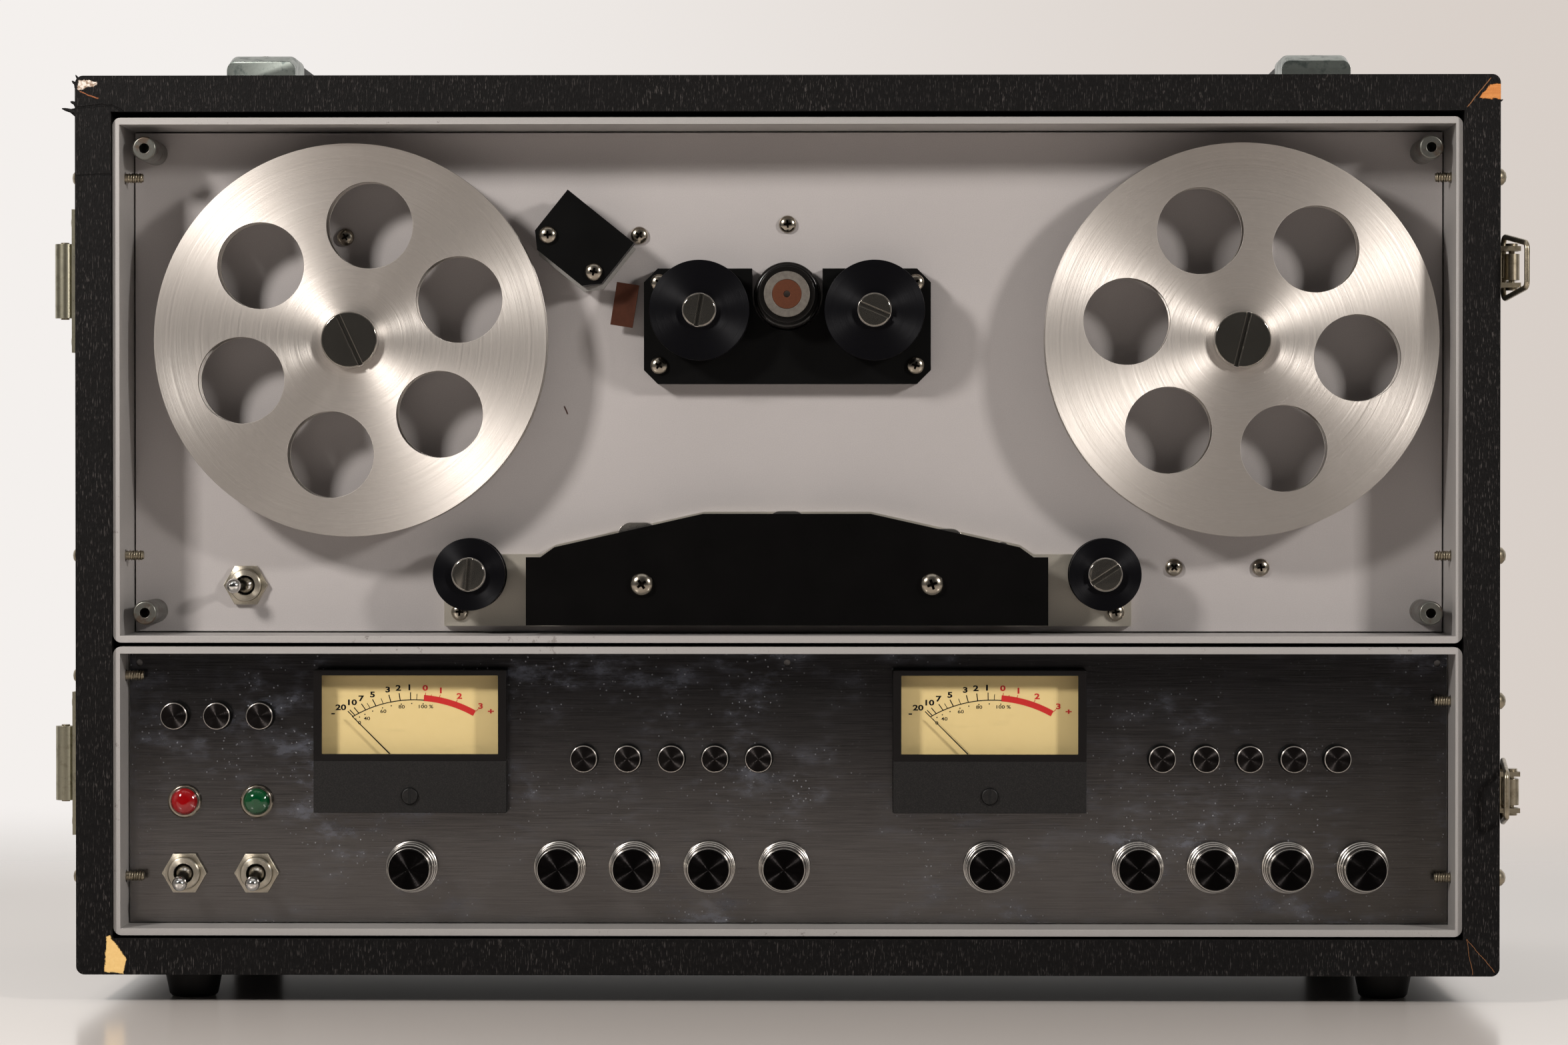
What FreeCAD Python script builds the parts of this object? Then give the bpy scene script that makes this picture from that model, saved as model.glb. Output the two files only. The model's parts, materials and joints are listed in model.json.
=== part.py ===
import FreeCAD, Part
import math
import os
import re
import Sketcher
from FreeCAD import Placement, Rotation, Vector

# Broadcast tape delay unit in a covered plywood carry case, front cover lifted off.
# Two formed aluminium trays are bolted inside the case: the tape transport above and the
# control panel below.  Millimetres, +Z up, the controls face -Y, feet stand on Z = 0.
# Turned pieces and everything fixed to a deck or panel are drawn about their own Y axis, with
# "height" counted from the seat towards the front (towards -Y).

SIZES = {
    # carry case
    "case_width": (506.0, "outside width over the covering"),
    "case_height": (320.0, "outside height over the covering"),
    "case_depth": (240.0, "outside depth, front cover removed"),
    "case_wall": (12.8, "plywood and covering"),
    "case_corner": (3.0, "radius of the long outer edges"),
    "batten_width": (10.0, "rear batten, across"),
    "batten_depth": (14.0, "rear batten, front to back"),
    "rear_recess": (12.0, "rear panel behind the case's rear edge"),
    "rear_plate": (2.0, "rear panel thickness"),
    "rear_plate_gap": (0.5, "rear panel edge to case"),
    "foot_height": (10.4, "rubber foot"),
    "foot_top": (21.5, "foot diameter at the case"),
    "foot_tip": (17.6, "foot diameter at the floor"),
    "foot_inset_x": (38.0, "foot centre from the case side"),
    "foot_inset_y": (29.0, "foot centre from the case front and rear"),
    "foot_recess": (8.4, "screw recess diameter"),
    "foot_sole": (4.0, "rubber under the screw head"),
    "foot_edge": (1.0, "bevel at the sole"),
    # trays
    "tray_side_gap": (0.2, "tray to case wall, each side"),
    "tray_rest_gap": (1.0, "lower tray to case floor"),
    "tray_spacing": (1.4, "between the two trays"),
    "tray_sheet": (2.5, "formed aluminium sheet"),
    "tray_corner": (3.0, "outer corner radius of a tray"),
    "tray_ledge": (9.0, "ledge strip behind a plate"),
    "lip_setback": (2.0, "tray lips behind the case's front edge"),
    "deck_tray_height": (187.0, "transport tray"),
    "deck_tray_depth": (128.0, "transport tray"),
    "panel_tray_height": (103.0, "electronics tray"),
    "panel_tray_depth": (160.0, "electronics tray"),
    "deck_drop": (33.5, "deck behind the lip"),
    "deck_thick": (3.0, "deck plate"),
    "panel_drop": (19.0, "control panel behind the lip"),
    "panel_thick": (2.0, "control panel"),
    "plate_gap": (0.6, "plate edge to tray wall"),
    # bolts through the case sides
    "bolt_drop": (14.0, "bolt line behind the lip"),
    "bolt_thread": (4.0, "bolt shank"),
    "bolt_clear": (0.2, "hole radius over shank radius"),
    "bolt_head": (6.6, "dome head diameter"),
    "bolt_head_height": (1.7, "dome head"),
    "bolt_rim": (0.3, "straight rim of the dome head"),
    "bolt_inside": (6.5, "thread showing inside the tray"),
    "deck_bolt_high": (72.8, "above the transport tray's centre"),
    "deck_bolt_low": (-62.6, "below the transport tray's centre"),
    "panel_bolt_left": (40.7, "left upper bolt from the electronics tray's centre"),
    "panel_bolt_right": (31.8, "right upper bolt from the electronics tray's centre"),
    "panel_bolt_low": (-31.5, "lower bolts from the electronics tray's centre"),
    # corner posts
    "post_inset": (8.0, "post centre from the tray's inner wall"),
    "post_size": (8.6, "post diameter"),
    "post_height": (28.0, "post above the deck"),
    "post_hole": (3.5, "tapped hole"),
    "post_hole_depth": (16.0, "tapped hole"),
    "post_edge": (0.5, "bevel at the post's end"),
    "post_spigot": (4.8, "spigot through the deck"),
    # common fits
    "cut_over": (1.0, "a cutting tool past the piece that it cuts"),
    "layout_width": (475.0, "tray width that the places across deck and panel are given for"),
    "running_gap": (0.05, "radial clearance of a turning fit"),
    "slide_gap": (0.3, "clearance of loose or sliding pieces"),
    "nest_gap": (0.05, "clearance of nested rings"),
    # reels
    "reel_size": (141.0, "flange diameter"),
    "reel_flange": (1.5, "flange thickness"),
    "reel_space": (8.0, "between the flanges"),
    "reel_hub": (50.0, "hub diameter"),
    "reel_lift": (10.5, "reel's rear face above the deck"),
    "reel_window": (31.0, "flange hole diameter"),
    "reel_window_ring": (41.7, "flange hole centres' radius"),
    "left_reel_x": (-156.6, "from the deck's centre"),
    "right_reel_x": (162.8, "from the deck's centre"),
    "reel_z": (14.7, "above the deck's centre"),
    "left_reel_turn": (80.3, "first hole of the left reel, from +X"),
    "right_reel_turn": (51.0, "first hole of the right reel, from +X"),
    "reel_stud": (10.0, "shoulder screw shank"),
    "reel_stud_head": (20.5, "slotted head"),
    "reel_stud_head_height": (3.2, "slotted head"),
    "reel_collar": (18.0, "spacer collar"),
    # rollers
    "flanged_size": (36.0, "flanged roller"),
    "flanged_core": (28.0, "tape groove diameter"),
    "flanged_x": (31.4, "roller centre from the deck's centre"),
    "flanged_z": (25.4, "roller centre above the deck's centre"),
    "guide_size": (26.0, "guide roller"),
    "guide_core": (20.0, "tape groove diameter"),
    "guide_inset": (10.3, "guide roller centre from the head plate's end"),
    "guide_z": (-69.4, "guide roller centre"),
    "roller_lift": (11.0, "rollers' rear face above the deck"),
    "roller_height": (10.5, "roller, along its axis"),
    "roller_flange": (1.7, "roller flange"),
    "roller_stud": (6.0, "shoulder screw shank"),
    "roller_stud_head": (12.3, "slotted head"),
    "roller_stud_head_height": (2.0, "slotted head"),
    "roller_collar": (10.0, "spacer collar"),
    "stud_thread": (5.0, "thread of all shoulder screws"),
    "stud_reach": (9.0, "thread below the seat"),
    "stud_edge": (0.5, "bevel of the slotted heads"),
    "slot_width": (1.6, "screwdriver slot"),
    "slot_depth": (1.2, "screwdriver slot"),
    "housing_size": (24.0, "spindle housing behind the deck"),
    "housing_depth": (18.0, "spindle housing behind the deck"),
    # roller base block and capstan
    "block_width": (103.6, "roller base block"),
    "block_height": (41.7, "roller base block"),
    "block_z": (20.0, "block centre above the deck's centre"),
    "block_thick": (8.0, "roller base block"),
    "block_chamfer": (5.0, "corner cut"),
    "notch_size": (25.4, "notch for the capstan"),
    "capstan_z": (31.1, "capstan above the deck's centre"),
    "capstan_ring": (24.2, "bearing ring"),
    "capstan_ring_height": (9.6, "bearing ring above the deck"),
    "capstan_ring_edge": (1.0, "bearing ring's bevel"),
    "capstan_lift": (10.0, "roller's rear face above the deck"),
    "capstan_tyre": (20.2, "rubber tyre"),
    "capstan_tyre_height": (10.2, "rubber tyre, along its axis"),
    "capstan_hub": (16.5, "aluminium hub"),
    "capstan_hub_height": (11.4, "aluminium hub, along its axis"),
    "capstan_bush": (10.5, "bush"),
    "capstan_bush_face": (3.0, "bush in front of the shaft"),
    "capstan_centre": (2.4, "centre hole"),
    "capstan_shaft": (6.0, "shaft"),
    "motor_size": (48.0, "drive motor"),
    "motor_length": (58.0, "drive motor"),
    "motor_boss": (19.0, "motor boss through the deck"),
    # heads
    "head_plate_half": (124.3, "head base plate, half width"),
    "head_plate_low": (-88.4, "lower edge from the deck's centre"),
    "head_plate_end": (-62.4, "upper edge at the ends"),
    "head_plate_top": (-47.0, "upper edge in the middle"),
    "head_plate_flat": (30.0, "half width of the top run"),
    "knee_inset": (40.3, "slope's end from the plate's end"),
    "head_plate_knee_z": (-59.0, "height where the slope ends"),
    "heel_inset": (35.3, "start of the low end from the plate's end"),
    "head_plate_thick": (5.0, "head base plate"),
    "cover_inset": (30.7, "head cover plate's end from the base plate's end"),
    "cover_low": (-87.7, "lower edge from the deck's centre"),
    "cover_end": (-63.2, "upper edge at the ends"),
    "cover_drop": (0.6, "cover outline below the base plate's"),
    "cover_thick": (2.0, "head cover plate"),
    "cover_front": (21.5, "cover's front face above the deck"),
    "cover_return": (12.0, "folded lower edge"),
    "cover_screw_x": (52.0, "cover screws from the centre"),
    "cover_screw_z": (-72.9, "cover screws"),
    "pillar_size": (8.0, "cover pillars"),
    "head_width": (14.0, "tape head"),
    "head_length": (13.6, "tape head, up and down"),
    "head_deep": (12.0, "tape head, front to back"),
    "head_nose": (4.4, "rounded corners at the pole face"),
    "left_head_x": (-53.7, "left head"),
    "left_head_top": (-50.8, "pole face of the left head"),
    "middle_head_top": (-46.7, "pole face of the middle head"),
    "right_head_x": (56.4, "right head"),
    "right_head_top": (-53.0, "pole face of the right head"),
    "tape_post_x": (77.3, "tape post"),
    "tape_post_z": (-60.2, "tape post"),
    "tape_post_size": (5.0, "tape post"),
    # angled block and copper plate
    "angled_x": (-74.3, "angled block centre"),
    "angled_z": (50.0, "angled block centre"),
    "angled_turn": (38.8, "angled block, clockwise"),
    "angled_width": (30.6, "angled block"),
    "angled_height": (23.8, "angled block"),
    "angled_chamfer": (5.0, "two lower corners"),
    "angled_screw_x": (10.6, "screws from the block's centre"),
    "angled_screw_z": (-5.3, "screws from the block's centre"),
    "angled_base": (29.0, "round base"),
    "angled_base_height": (5.0, "round base"),
    "angled_pad_height": (3.0, "grey under-piece"),
    "angled_pad_shift": (1.2, "grey under-piece towards the lower right"),
    "angled_cover_height": (9.0, "black block"),
    "copper_x": (-58.8, "copper plate centre"),
    "copper_z": (27.8, "copper plate centre"),
    "copper_turn": (9.0, "copper plate, clockwise"),
    "copper_width": (8.2, "copper plate"),
    "copper_height": (15.6, "copper plate"),
    "copper_thick": (0.8, "copper plate"),
    "copper_lift": (5.0, "copper plate above the deck"),
    "copper_post": (3.0, "copper plate's post"),
    # cross-recess screws
    "screw_head": (6.4, "pan head"),
    "screw_head_height": (2.2, "pan head"),
    "screw_rim": (0.7, "straight rim of the pan head"),
    "cross_arm": (1.6, "cross recess, centre to end"),
    "cross_half": (0.42, "cross recess, half a slot's width"),
    "cross_depth": (1.3, "cross recess"),
    "screw_shank": (3.0, "shank"),
    "screw_reach": (7.0, "shank below the head"),
    "long_screw_reach": (16.0, "shank of the longer screws"),
    "washer_size": (9.2, "cup washer under the right-hand bolts"),
    "washer_thick": (0.8, "cup washer"),
    "large_screw_scale": (1.31, "cover screws over the small ones"),
    "deck_screw_a_x": (-160.5, "behind the left reel"),
    "deck_screw_a_z": (52.6, "behind the left reel"),
    "deck_screw_b_z": (57.2, "top middle"),
    "deck_screw_c_x": (-53.8, "beside the angled block"),
    "deck_screw_c_z": (53.2, "beside the angled block"),
    "deck_screw_d_gap": (15.7, "first screw right of the head plate"),
    "deck_screw_pitch": (31.4, "first to second screw right of the head plate"),
    "deck_screw_d_z": (-67.2, "right of the heads"),
    "block_screw_x": (46.3, "roller block screws from the centre"),
    "block_screw_high": (35.7, "upper block screws"),
    "block_screw_low": (5.8, "lower block screws"),
    "plate_screw_inset": (5.7, "head base plate screws from the plate's end"),
    "plate_screw_z": (-83.3, "head base plate screws"),
    # toggle switches
    "toggle_nut": (14.0, "across flats"),
    "toggle_nut_height": (2.2, "hexagon nut"),
    "toggle_thread": (11.6, "bushing"),
    "toggle_thread_height": (4.4, "bushing above the seat"),
    "toggle_bore": (7.2, "bushing bore"),
    "toggle_pivot": (1.0, "lever pivot above the seat"),
    "toggle_lever": (15.4, "lever from its pivot"),
    "toggle_neck": (3.0, "lever's neck"),
    "toggle_tip": (5.4, "lever's bulb"),
    "toggle_tip_length": (6.4, "lever's bulb and taper"),
    "toggle_edge": (0.4, "bushing's bevel"),
    "toggle_tail": (2.0, "bushing behind the plate"),
    "toggle_tilt": (13.0, "lever from upright"),
    "toggle_body_width": (13.0, "switch body"),
    "toggle_body_depth": (20.0, "switch body"),
    "deck_toggle_x": (-196.7, "deck toggle"),
    "deck_toggle_z": (-73.7, "deck toggle"),
    "left_toggle_x": (-217.1, "left panel toggle"),
    "right_toggle_x": (-191.0, "right panel toggle"),
    "panel_toggle_z": (-30.7, "panel toggles"),
    # lamps and buttons
    "lamp_z": (-4.9, "pilot lamps"),
    "lamp_bezel": (12.0, "bezel"),
    "lamp_bezel_height": (2.0, "bezel"),
    "lamp_edge": (0.6, "bezel's bevel"),
    "lamp_tube": (9.8, "bezel's barrel"),
    "lamp_tube_depth": (6.0, "bezel's barrel behind the panel's front"),
    "lamp_inner": (8.6, "inside the barrel"),
    "lamp_seat": (0.6, "lens seat above the panel"),
    "lamp_lens": (9.4, "lens"),
    "lamp_lens_depth": (3.0, "lens behind the panel's front"),
    "lamp_shoulder": (2.4, "lens dome starts"),
    "lamp_height": (5.0, "lens above the panel"),
    "button_rim": (10.5, "rim"),
    "button_bush": (8.4, "threaded bush"),
    "button_cap": (9.7, "moving cap"),
    "button_cap_height": (2.4, "moving cap"),
    "button_stem": (7.0, "cap's stem"),
    "button_stand": (5.6, "cap's face above the panel"),
    "button_inside": (1.6, "stem behind the panel"),
    "button_edge": (0.45, "bevel round the cap's face"),
    "button_rim_height": (0.6, "rim"),
    "button_tail": (2.0, "bush behind the panel"),
    "button_travel": (2.5, "cap travel"),
    "switch_body": (10.4, "switch body behind the panel"),
    "switch_depth": (14.0, "switch body behind the panel"),
    "corner_button_x": (-220.4, "first of three buttons at the left"),
    "corner_button_pitch": (15.4, "three buttons at the left"),
    "corner_button_z": (26.0, "three buttons at the left"),
    "row_button_x": (62.0, "first button of a row, from the channel's meter"),
    "row_button_pitch": (15.7, "buttons of a row"),
    "row_button_z": (10.7, "button rows"),
    # channels, meters and knobs
    "left_channel_x": (-135.0, "meter centre of the left channel"),
    "channel_pitch": (207.6, "left channel to right channel"),
    "meter_width": (69.1, "meter housing"),
    "meter_height": (51.1, "meter housing"),
    "meter_z": (17.2, "meter centre above the panel's centre"),
    "meter_tub": (8.0, "housing depth in front of the panel"),
    "meter_front": (2.0, "meter front"),
    "meter_wall": (1.8, "housing wall"),
    "meter_barrel": (38.0, "movement behind the panel"),
    "meter_barrel_depth": (24.0, "movement behind the panel"),
    "window_width": (63.2, "meter window"),
    "window_height": (28.2, "meter window"),
    "window_z": (9.6, "window centre above the meter's centre"),
    "window_glass": (1.2, "window"),
    "window_inset": (0.4, "window in front of the housing"),
    "dial_thick": (0.8, "dial plate"),
    "needle_z": (-12.4, "needle pivot below the meter's centre"),
    "needle_length": (30.0, "needle from its pivot"),
    "needle_lift": (4.6, "needle above the panel"),
    "needle_thick": (0.5, "needle"),
    "needle_tip": (0.5, "needle width at its tip"),
    "needle_root": (1.0, "needle width at its hub"),
    "needle_hub": (4.0, "needle hub diameter"),
    "needle_pin": (1.4, "needle pivot pin"),
    "needle_pin_proud": (1.0, "pivot pin in front of the needle"),
    "needle_rest": (45.0, "needle at rest, left of upright"),
    "zero_screw": (6.2, "zero adjuster"),
    "zero_screw_z": (-19.5, "zero adjuster"),
    "zero_height": (1.0, "zero adjuster"),
    "zero_edge": (0.4, "zero adjuster's bevel"),
    "knob_z": (-28.3, "knob line"),
    "knob_first": (53.3, "second knob of a channel from its meter"),
    "knob_pitch": (26.9, "knobs of a channel"),
    "knob_base": (18.8, "skirt diameter"),
    "knob_neck": (15.6, "skirt diameter at the front"),
    "knob_cap": (14.4, "black cap"),
    "knob_height": (15.8, "knob above the panel"),
    "knob_stand": (0.6, "skirt above the panel"),
    "knob_foot": (1.4, "straight foot of the skirt"),
    "knob_cap_proud": (1.8, "cap in front of the skirt"),
    "knob_cap_seat": (0.8, "cap sunk in the skirt"),
    "knob_edge": (0.4, "cap's bevel"),
    "knob_shaft": (6.0, "potentiometer shaft"),
    "pot_size": (16.5, "potentiometer"),
    "pot_depth": (9.0, "potentiometer"),
    "pot_floor": (0.7, "potentiometer's rear wall"),
    "panel_hole": (2.4, "three small tapped holes along the top"),
    "panel_hole_inset": (4.0, "outer tapped holes from the tray's inner walls"),
    # hinges
    "hinge_leaf_height": (51.0, "hinge leaf"),
    "hinge_leaf_depth": (20.0, "hinge leaf"),
    "hinge_leaf": (1.2, "hinge leaf thickness"),
    "hinge_barrel": (7.0, "knuckle"),
    "hinge_barrel_height": (26.4, "knuckle"),
    "hinge_barrel_out": (4.1, "knuckle axis from the case side"),
    "hinge_pin": (3.0, "pin"),
    "hinge_screw": (21.3, "leaf screws above and below the knuckle"),
    "hinge_screw_back": (12.4, "leaf screws behind the leaf's front edge"),
    "hinge_pin_stand": (0.5, "pin beyond the knuckle, each end"),
    "upper_hinge_z": (87.0, "from the case's mid-height"),
    "lower_hinge_z": (-84.7, "from the case's mid-height"),
    # draw latches
    "latch_height": (14.7, "latch base"),
    "latch_depth": (34.0, "latch base"),
    "latch_sheet": (1.2, "latch base sheet"),
    "latch_ear": (1.7, "ear thickness"),
    "latch_ear_out": (8.0, "ear reach from the case side"),
    "latch_ear_half": (3.6, "ear, half its depth"),
    "latch_pin": (2.2, "pivot pin"),
    "latch_pin_out": (5.2, "pivot pin from the case side"),
    "latch_pin_back": (9.0, "pivot pin behind the case's front edge"),
    "latch_rivet": (4.4, "rivet head"),
    "latch_rivet_height": (1.0, "rivet head"),
    "lever_width": (9.3, "latch lever"),
    "lever_knuckle": (5.6, "rolled knuckle"),
    "lever_sheet": (1.2, "lever sheet"),
    "lever_length": (30.0, "lever behind its pin"),
    "lug_margin": (0.8, "metal around the bail's eye"),
    "bail_back": (6.4, "bail pivot behind the lever's pin"),
    "bail_out": (3.2, "bail pivot from the case side"),
    "bail_wire": (2.0, "bail wire"),
    "bail_length": (25.0, "bail, pivot to hook"),
    "bail_wide": (22.6, "bail at its pivot, wire centres"),
    "bail_narrow": (15.4, "bail at its hook, wire centres"),
    "bail_bend": (2.4, "bail corner radius"),
    "upper_bail_angle": (11.0, "upper bail, swung outwards"),
    "lower_bail_angle": (-5.0, "lower bail, swung inwards"),
    "upper_latch_z": (92.0, "from the case's mid-height"),
    "lower_latch_z": (-95.0, "from the case's mid-height"),
    # handles
    "handle_x": (192.0, "handle centre from the case's centre"),
    "handle_front": (42.0, "end cap behind the case's front edge"),
    "handle_cap_width": (25.0, "end cap"),
    "handle_cap_length": (27.5, "end cap"),
    "handle_cap_low": (8.6, "end cap at its outer end"),
    "handle_cap_high": (11.4, "end cap at its strap end"),
    "handle_cap_nose": (3.0, "end cap's rounded corners"),
    "handle_cap_slope": (9.6, "sloping part of the end cap"),
    "handle_seat": (1.7, "screw head let into the end cap"),
    "strap_width": (20.0, "strap"),
    "strap_thick": (3.6, "strap"),
    "strap_low": (4.4, "strap's underside above the case top, at its ends"),
    "strap_rise": (3.0, "strap's middle above its ends"),
    "strap_inside": (9.0, "strap inside each cap"),
    "strap_straight": (13.5, "flat end of the strap"),
    "strap_middle": (26.8, "raised middle of the strap, half its length"),
    # electronics
    "board_width": (380.0, "circuit board"),
    "board_height": (76.0, "circuit board"),
    "board_thick": (1.6, "circuit board"),
    "board_stand": (22.0, "circuit board in front of the tray's rear wall"),
    "board_post": (6.0, "circuit board posts"),
    "board_post_inset": (8.0, "posts from the board's edge"),
    "transformer_width": (62.0, "transformer core"),
    "transformer_height": (52.0, "transformer core"),
    "transformer_deep": (22.0, "transformer core"),
    "transformer_x": (95.0, "transformer from the board's centre"),
    "coil_width": (40.0, "transformer coil"),
    "coil_height": (36.0, "transformer coil"),
    "coil_deep": (12.0, "transformer coil in front of the core"),
    "capacitor_size": (16.0, "capacitors"),
    "capacitor_height": (26.0, "capacitors"),
    "capacitor_pitch": (24.0, "capacitors"),
    "capacitor_x": (-126.0, "first capacitor"),
    # rear sockets
    "socket_size": (15.0, "jack socket nut"),
    "socket_body": (11.0, "jack socket body"),
    "socket_mouth": (6.5, "jack socket bore"),
    "socket_depth": (24.0, "jack socket body in front of the rear panel"),
    "socket_wall": (2.0, "jack socket floor and nut edge"),
    "fuse_depth": (28.0, "fuse holder body in front of the rear panel"),
    "connector_window": (28.0, "rear panel windows, up and down"),
    "sound_window": (134.0, "window of the audio sockets"),
    "power_window": (76.0, "window of the mains inlet and fuse"),
    "connector_margin": (6.0, "connector plate over its window"),
    "connector_plate": (1.5, "connector plate thickness"),
    "socket_pitch": (36.0, "audio sockets"),
    "socket_x": (60.0, "first audio socket"),
    "socket_z": (-95.0, "connector line from the case's mid-height"),
    "inlet_x": (-150.0, "mains inlet"),
    "inlet_width": (26.0, "mains inlet body"),
    "inlet_height": (20.0, "mains inlet body"),
    "inlet_rim": (3.0, "mains inlet flange around its body"),
    "inlet_wall": (2.0, "mains inlet walls"),
    "inlet_depth": (16.0, "mains inlet body in front of the rear panel's face"),
    "inlet_out": (4.0, "connectors behind the rear panel"),
    "inlet_pin": (2.2, "mains inlet pins"),
    "inlet_pin_length": (11.0, "mains inlet pins"),
    "inlet_pin_pitch": (7.0, "mains inlet pins"),
    "fuse_x": (-110.0, "fuse holder"),
    "fuse_size": (16.0, "fuse holder flange"),
    "fuse_body": (12.0, "fuse holder body"),
}

# Places worked out from the sizes above.
PLACES = {
    "hinge_reach": "hinge_barrel_out + hinge_barrel/2",
    "latch_reach": "bail_out + bail_length*sin(upper_bail_angle*1deg) + bail_wire/2",
    "bail_setback": "latch_pin_back + bail_back",
    "bail_reach": "bail_length*cos(lower_bail_angle*1deg) + bail_wire/2 - bail_setback",
    "centre_x": "(hinge_reach - latch_reach)/2",
    "centre_y": "bail_reach/2",
    "middle_z": "foot_height + case_height/2",
    "top_z": "foot_height + case_height",
    "front_y": "centre_y - case_depth/2",
    "rear_y": "centre_y + case_depth/2",
    "lip_y": "front_y + lip_setback",
    "deck_y": "lip_y + deck_drop",
    "panel_y": "lip_y + panel_drop",
    "tray_width": "case_width - 2*(case_wall + tray_side_gap)",
    "tray_inside": "tray_width - 2*tray_sheet",
    "panel_z": "foot_height + case_wall + tray_rest_gap + panel_tray_height/2",
    "deck_z": "panel_z + panel_tray_height/2 + tray_spacing + deck_tray_height/2",
    "left_side_x": "centre_x - case_width/2",
    "right_side_x": "centre_x + case_width/2",
    "right_channel_x": "left_channel_x + channel_pitch",
    "reel_thick": "2*reel_flange + reel_space",
    "spread": "tray_inside/layout_width",
    "guide_x": "head_plate_half - guide_inset",
    "plate_screw_x": "head_plate_half - plate_screw_inset",
    "cover_half": "head_plate_half - cover_inset",
    "knee_x": "head_plate_half - knee_inset",
    "heel_x": "head_plate_half - heel_inset",
    "deck_screw_d_x": "head_plate_half + deck_screw_d_gap",
    "deck_screw_e_x": "deck_screw_d_x + deck_screw_pitch",
    "panel_hole_x": "tray_inside/2 - panel_hole_inset",
    "panel_hole_z": "panel_tray_height/2 - tray_sheet - panel_hole_inset",
    "post_x": "tray_inside/2 - post_inset",
    "post_z": "deck_tray_height/2 - tray_sheet - post_inset",
    "rear_face_y": "rear_y - rear_recess",
    "socket_face_y": "rear_face_y + connector_plate",
    "cap_wall_y": "front_y + handle_front",
}

FRONT = (0, -1, 0)
UPRIGHT = (0, 0, 1)
ACROSS = (1, 0, 0)

doc = FreeCAD.newDocument("TapeDelayUnit")
sheet = doc.addObject("Spreadsheet::Sheet", "Sizes")
NODES = []


# --- small helpers -------------------------------------------------------------------------

def fill_sheet():
    """Write every size to the sheet, with its name as the alias."""
    for row, (name, (size, meaning)) in enumerate(SIZES.items(), start=1):
        sheet.set(f"A{row}", meaning)
        sheet.set(f"B{row}", str(size))
        sheet.setAlias(f"B{row}", name)
    doc.recompute()


def sized(text):
    """Swap each size name for its cell and each place name for its formula."""
    def swap(found):
        name = found.group()
        if name in PLACES:
            return "(" + sized(PLACES[name]) + ")"
        return "Sizes." + name if name in SIZES else name
    return re.sub(r"[A-Za-z_]\w*", swap, text)


def value(text):
    return float(sheet.evalExpression(sized(text)))


def bind(thing, setting, text):
    thing.setExpression(setting, sized(text))


def place(thing, x="0", y="0", z="0", axis=UPRIGHT, angle="0"):
    """Bind a piece's place, and its turn about one axis, to the sizes."""
    thing.Placement = Placement(Vector(), Rotation(Vector(*axis), value(angle)))
    for setting, text in (("x", x), ("y", y), ("z", z)):
        bind(thing, "Placement.Base." + setting, text)
    if angle != "0":
        bind(thing, "Placement.Rotation.Angle", angle)
    return thing


def new_body(label):
    body = doc.addObject("PartDesign::Body", label)
    body.Label = label
    return body


def points(*pairs):
    """A closed outline of straight lines through the given pairs."""
    def draw(sketch):
        first = sketch.GeometryCount
        spots = [Vector(value(across), value(up), 0) for across, up in pairs]
        count = len(spots)
        for index in range(count):
            sketch.addGeometry(Part.LineSegment(spots[index], spots[(index + 1) % count]))
        for index in range(count):
            here, after = first + index, first + (index + 1) % count
            sketch.addConstraint(Sketcher.Constraint("Coincident", here, 2, after, 1))
        for index, (across, up) in enumerate(pairs):
            for kind, size, text in (("DistanceX", spots[index].x, across),
                                     ("DistanceY", spots[index].y, up)):
                rule = Sketcher.Constraint(kind, -1, 1, first + index, 1, size)
                bind(sketch, f"Constraints[{sketch.addConstraint(rule)}]", text)
    return draw


def rectangle(width, height, across="0", up="0"):
    left, right = f"{across} - ({width})/2", f"{across} + ({width})/2"
    low, high = f"{up} - ({height})/2", f"{up} + ({height})/2"
    return points((left, low), (right, low), (right, high), (left, high))


def circle(size, across="0", up="0"):
    def draw(sketch):
        centre = Vector(value(across), value(up), 0)
        drawn = sketch.addGeometry(Part.Circle(centre, Vector(0, 0, 1), value(size)/2))
        for kind, text in (("DistanceX", across), ("DistanceY", up)):
            rule = Sketcher.Constraint(kind, -1, 1, drawn, 3, value(text))
            bind(sketch, f"Constraints[{sketch.addConstraint(rule)}]", text)
        rule = Sketcher.Constraint("Diameter", drawn, value(size))
        bind(sketch, f"Constraints[{sketch.addConstraint(rule)}]", size)
    return draw


def sketch_on(body, role, *outlines, level="0"):
    """A sketch on one of the body's origin planes, moved by level along the plane's normal."""
    drawn = body.newObject("Sketcher::SketchObject", body.Label + "_sketch")
    plane = next(item for item in body.Origin.OriginFeatures if item.Role == role)
    drawn.AttachmentSupport = [(plane, "")]
    drawn.MapMode = "FlatFace"
    bind(drawn, "AttachmentOffset.Base.z", level)
    for outline in outlines:
        outline(drawn)
    return drawn


def pad(body, drawn, length):
    made = body.newObject("PartDesign::Pad", body.Label + "_pad")
    made.Profile = drawn
    bind(made, "Length", length)
    drawn.Visibility = False
    return made


def pocket(body, drawn, length, backwards=False):
    """A pocket; it runs against the sketch's normal unless backwards is set."""
    made = body.newObject("PartDesign::Pocket", body.Label + "_pocket")
    made.Profile = drawn
    made.Reversed = backwards
    bind(made, "Length", length)
    drawn.Visibility = False
    return made


def plate(label, thick, *outlines, level="0"):
    """A flat piece facing the front: its rear face lies at level and its front at level + thick."""
    body = new_body(label)
    pad(body, sketch_on(body, "XZ_Plane", *outlines, level=level), thick)
    return body


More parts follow.
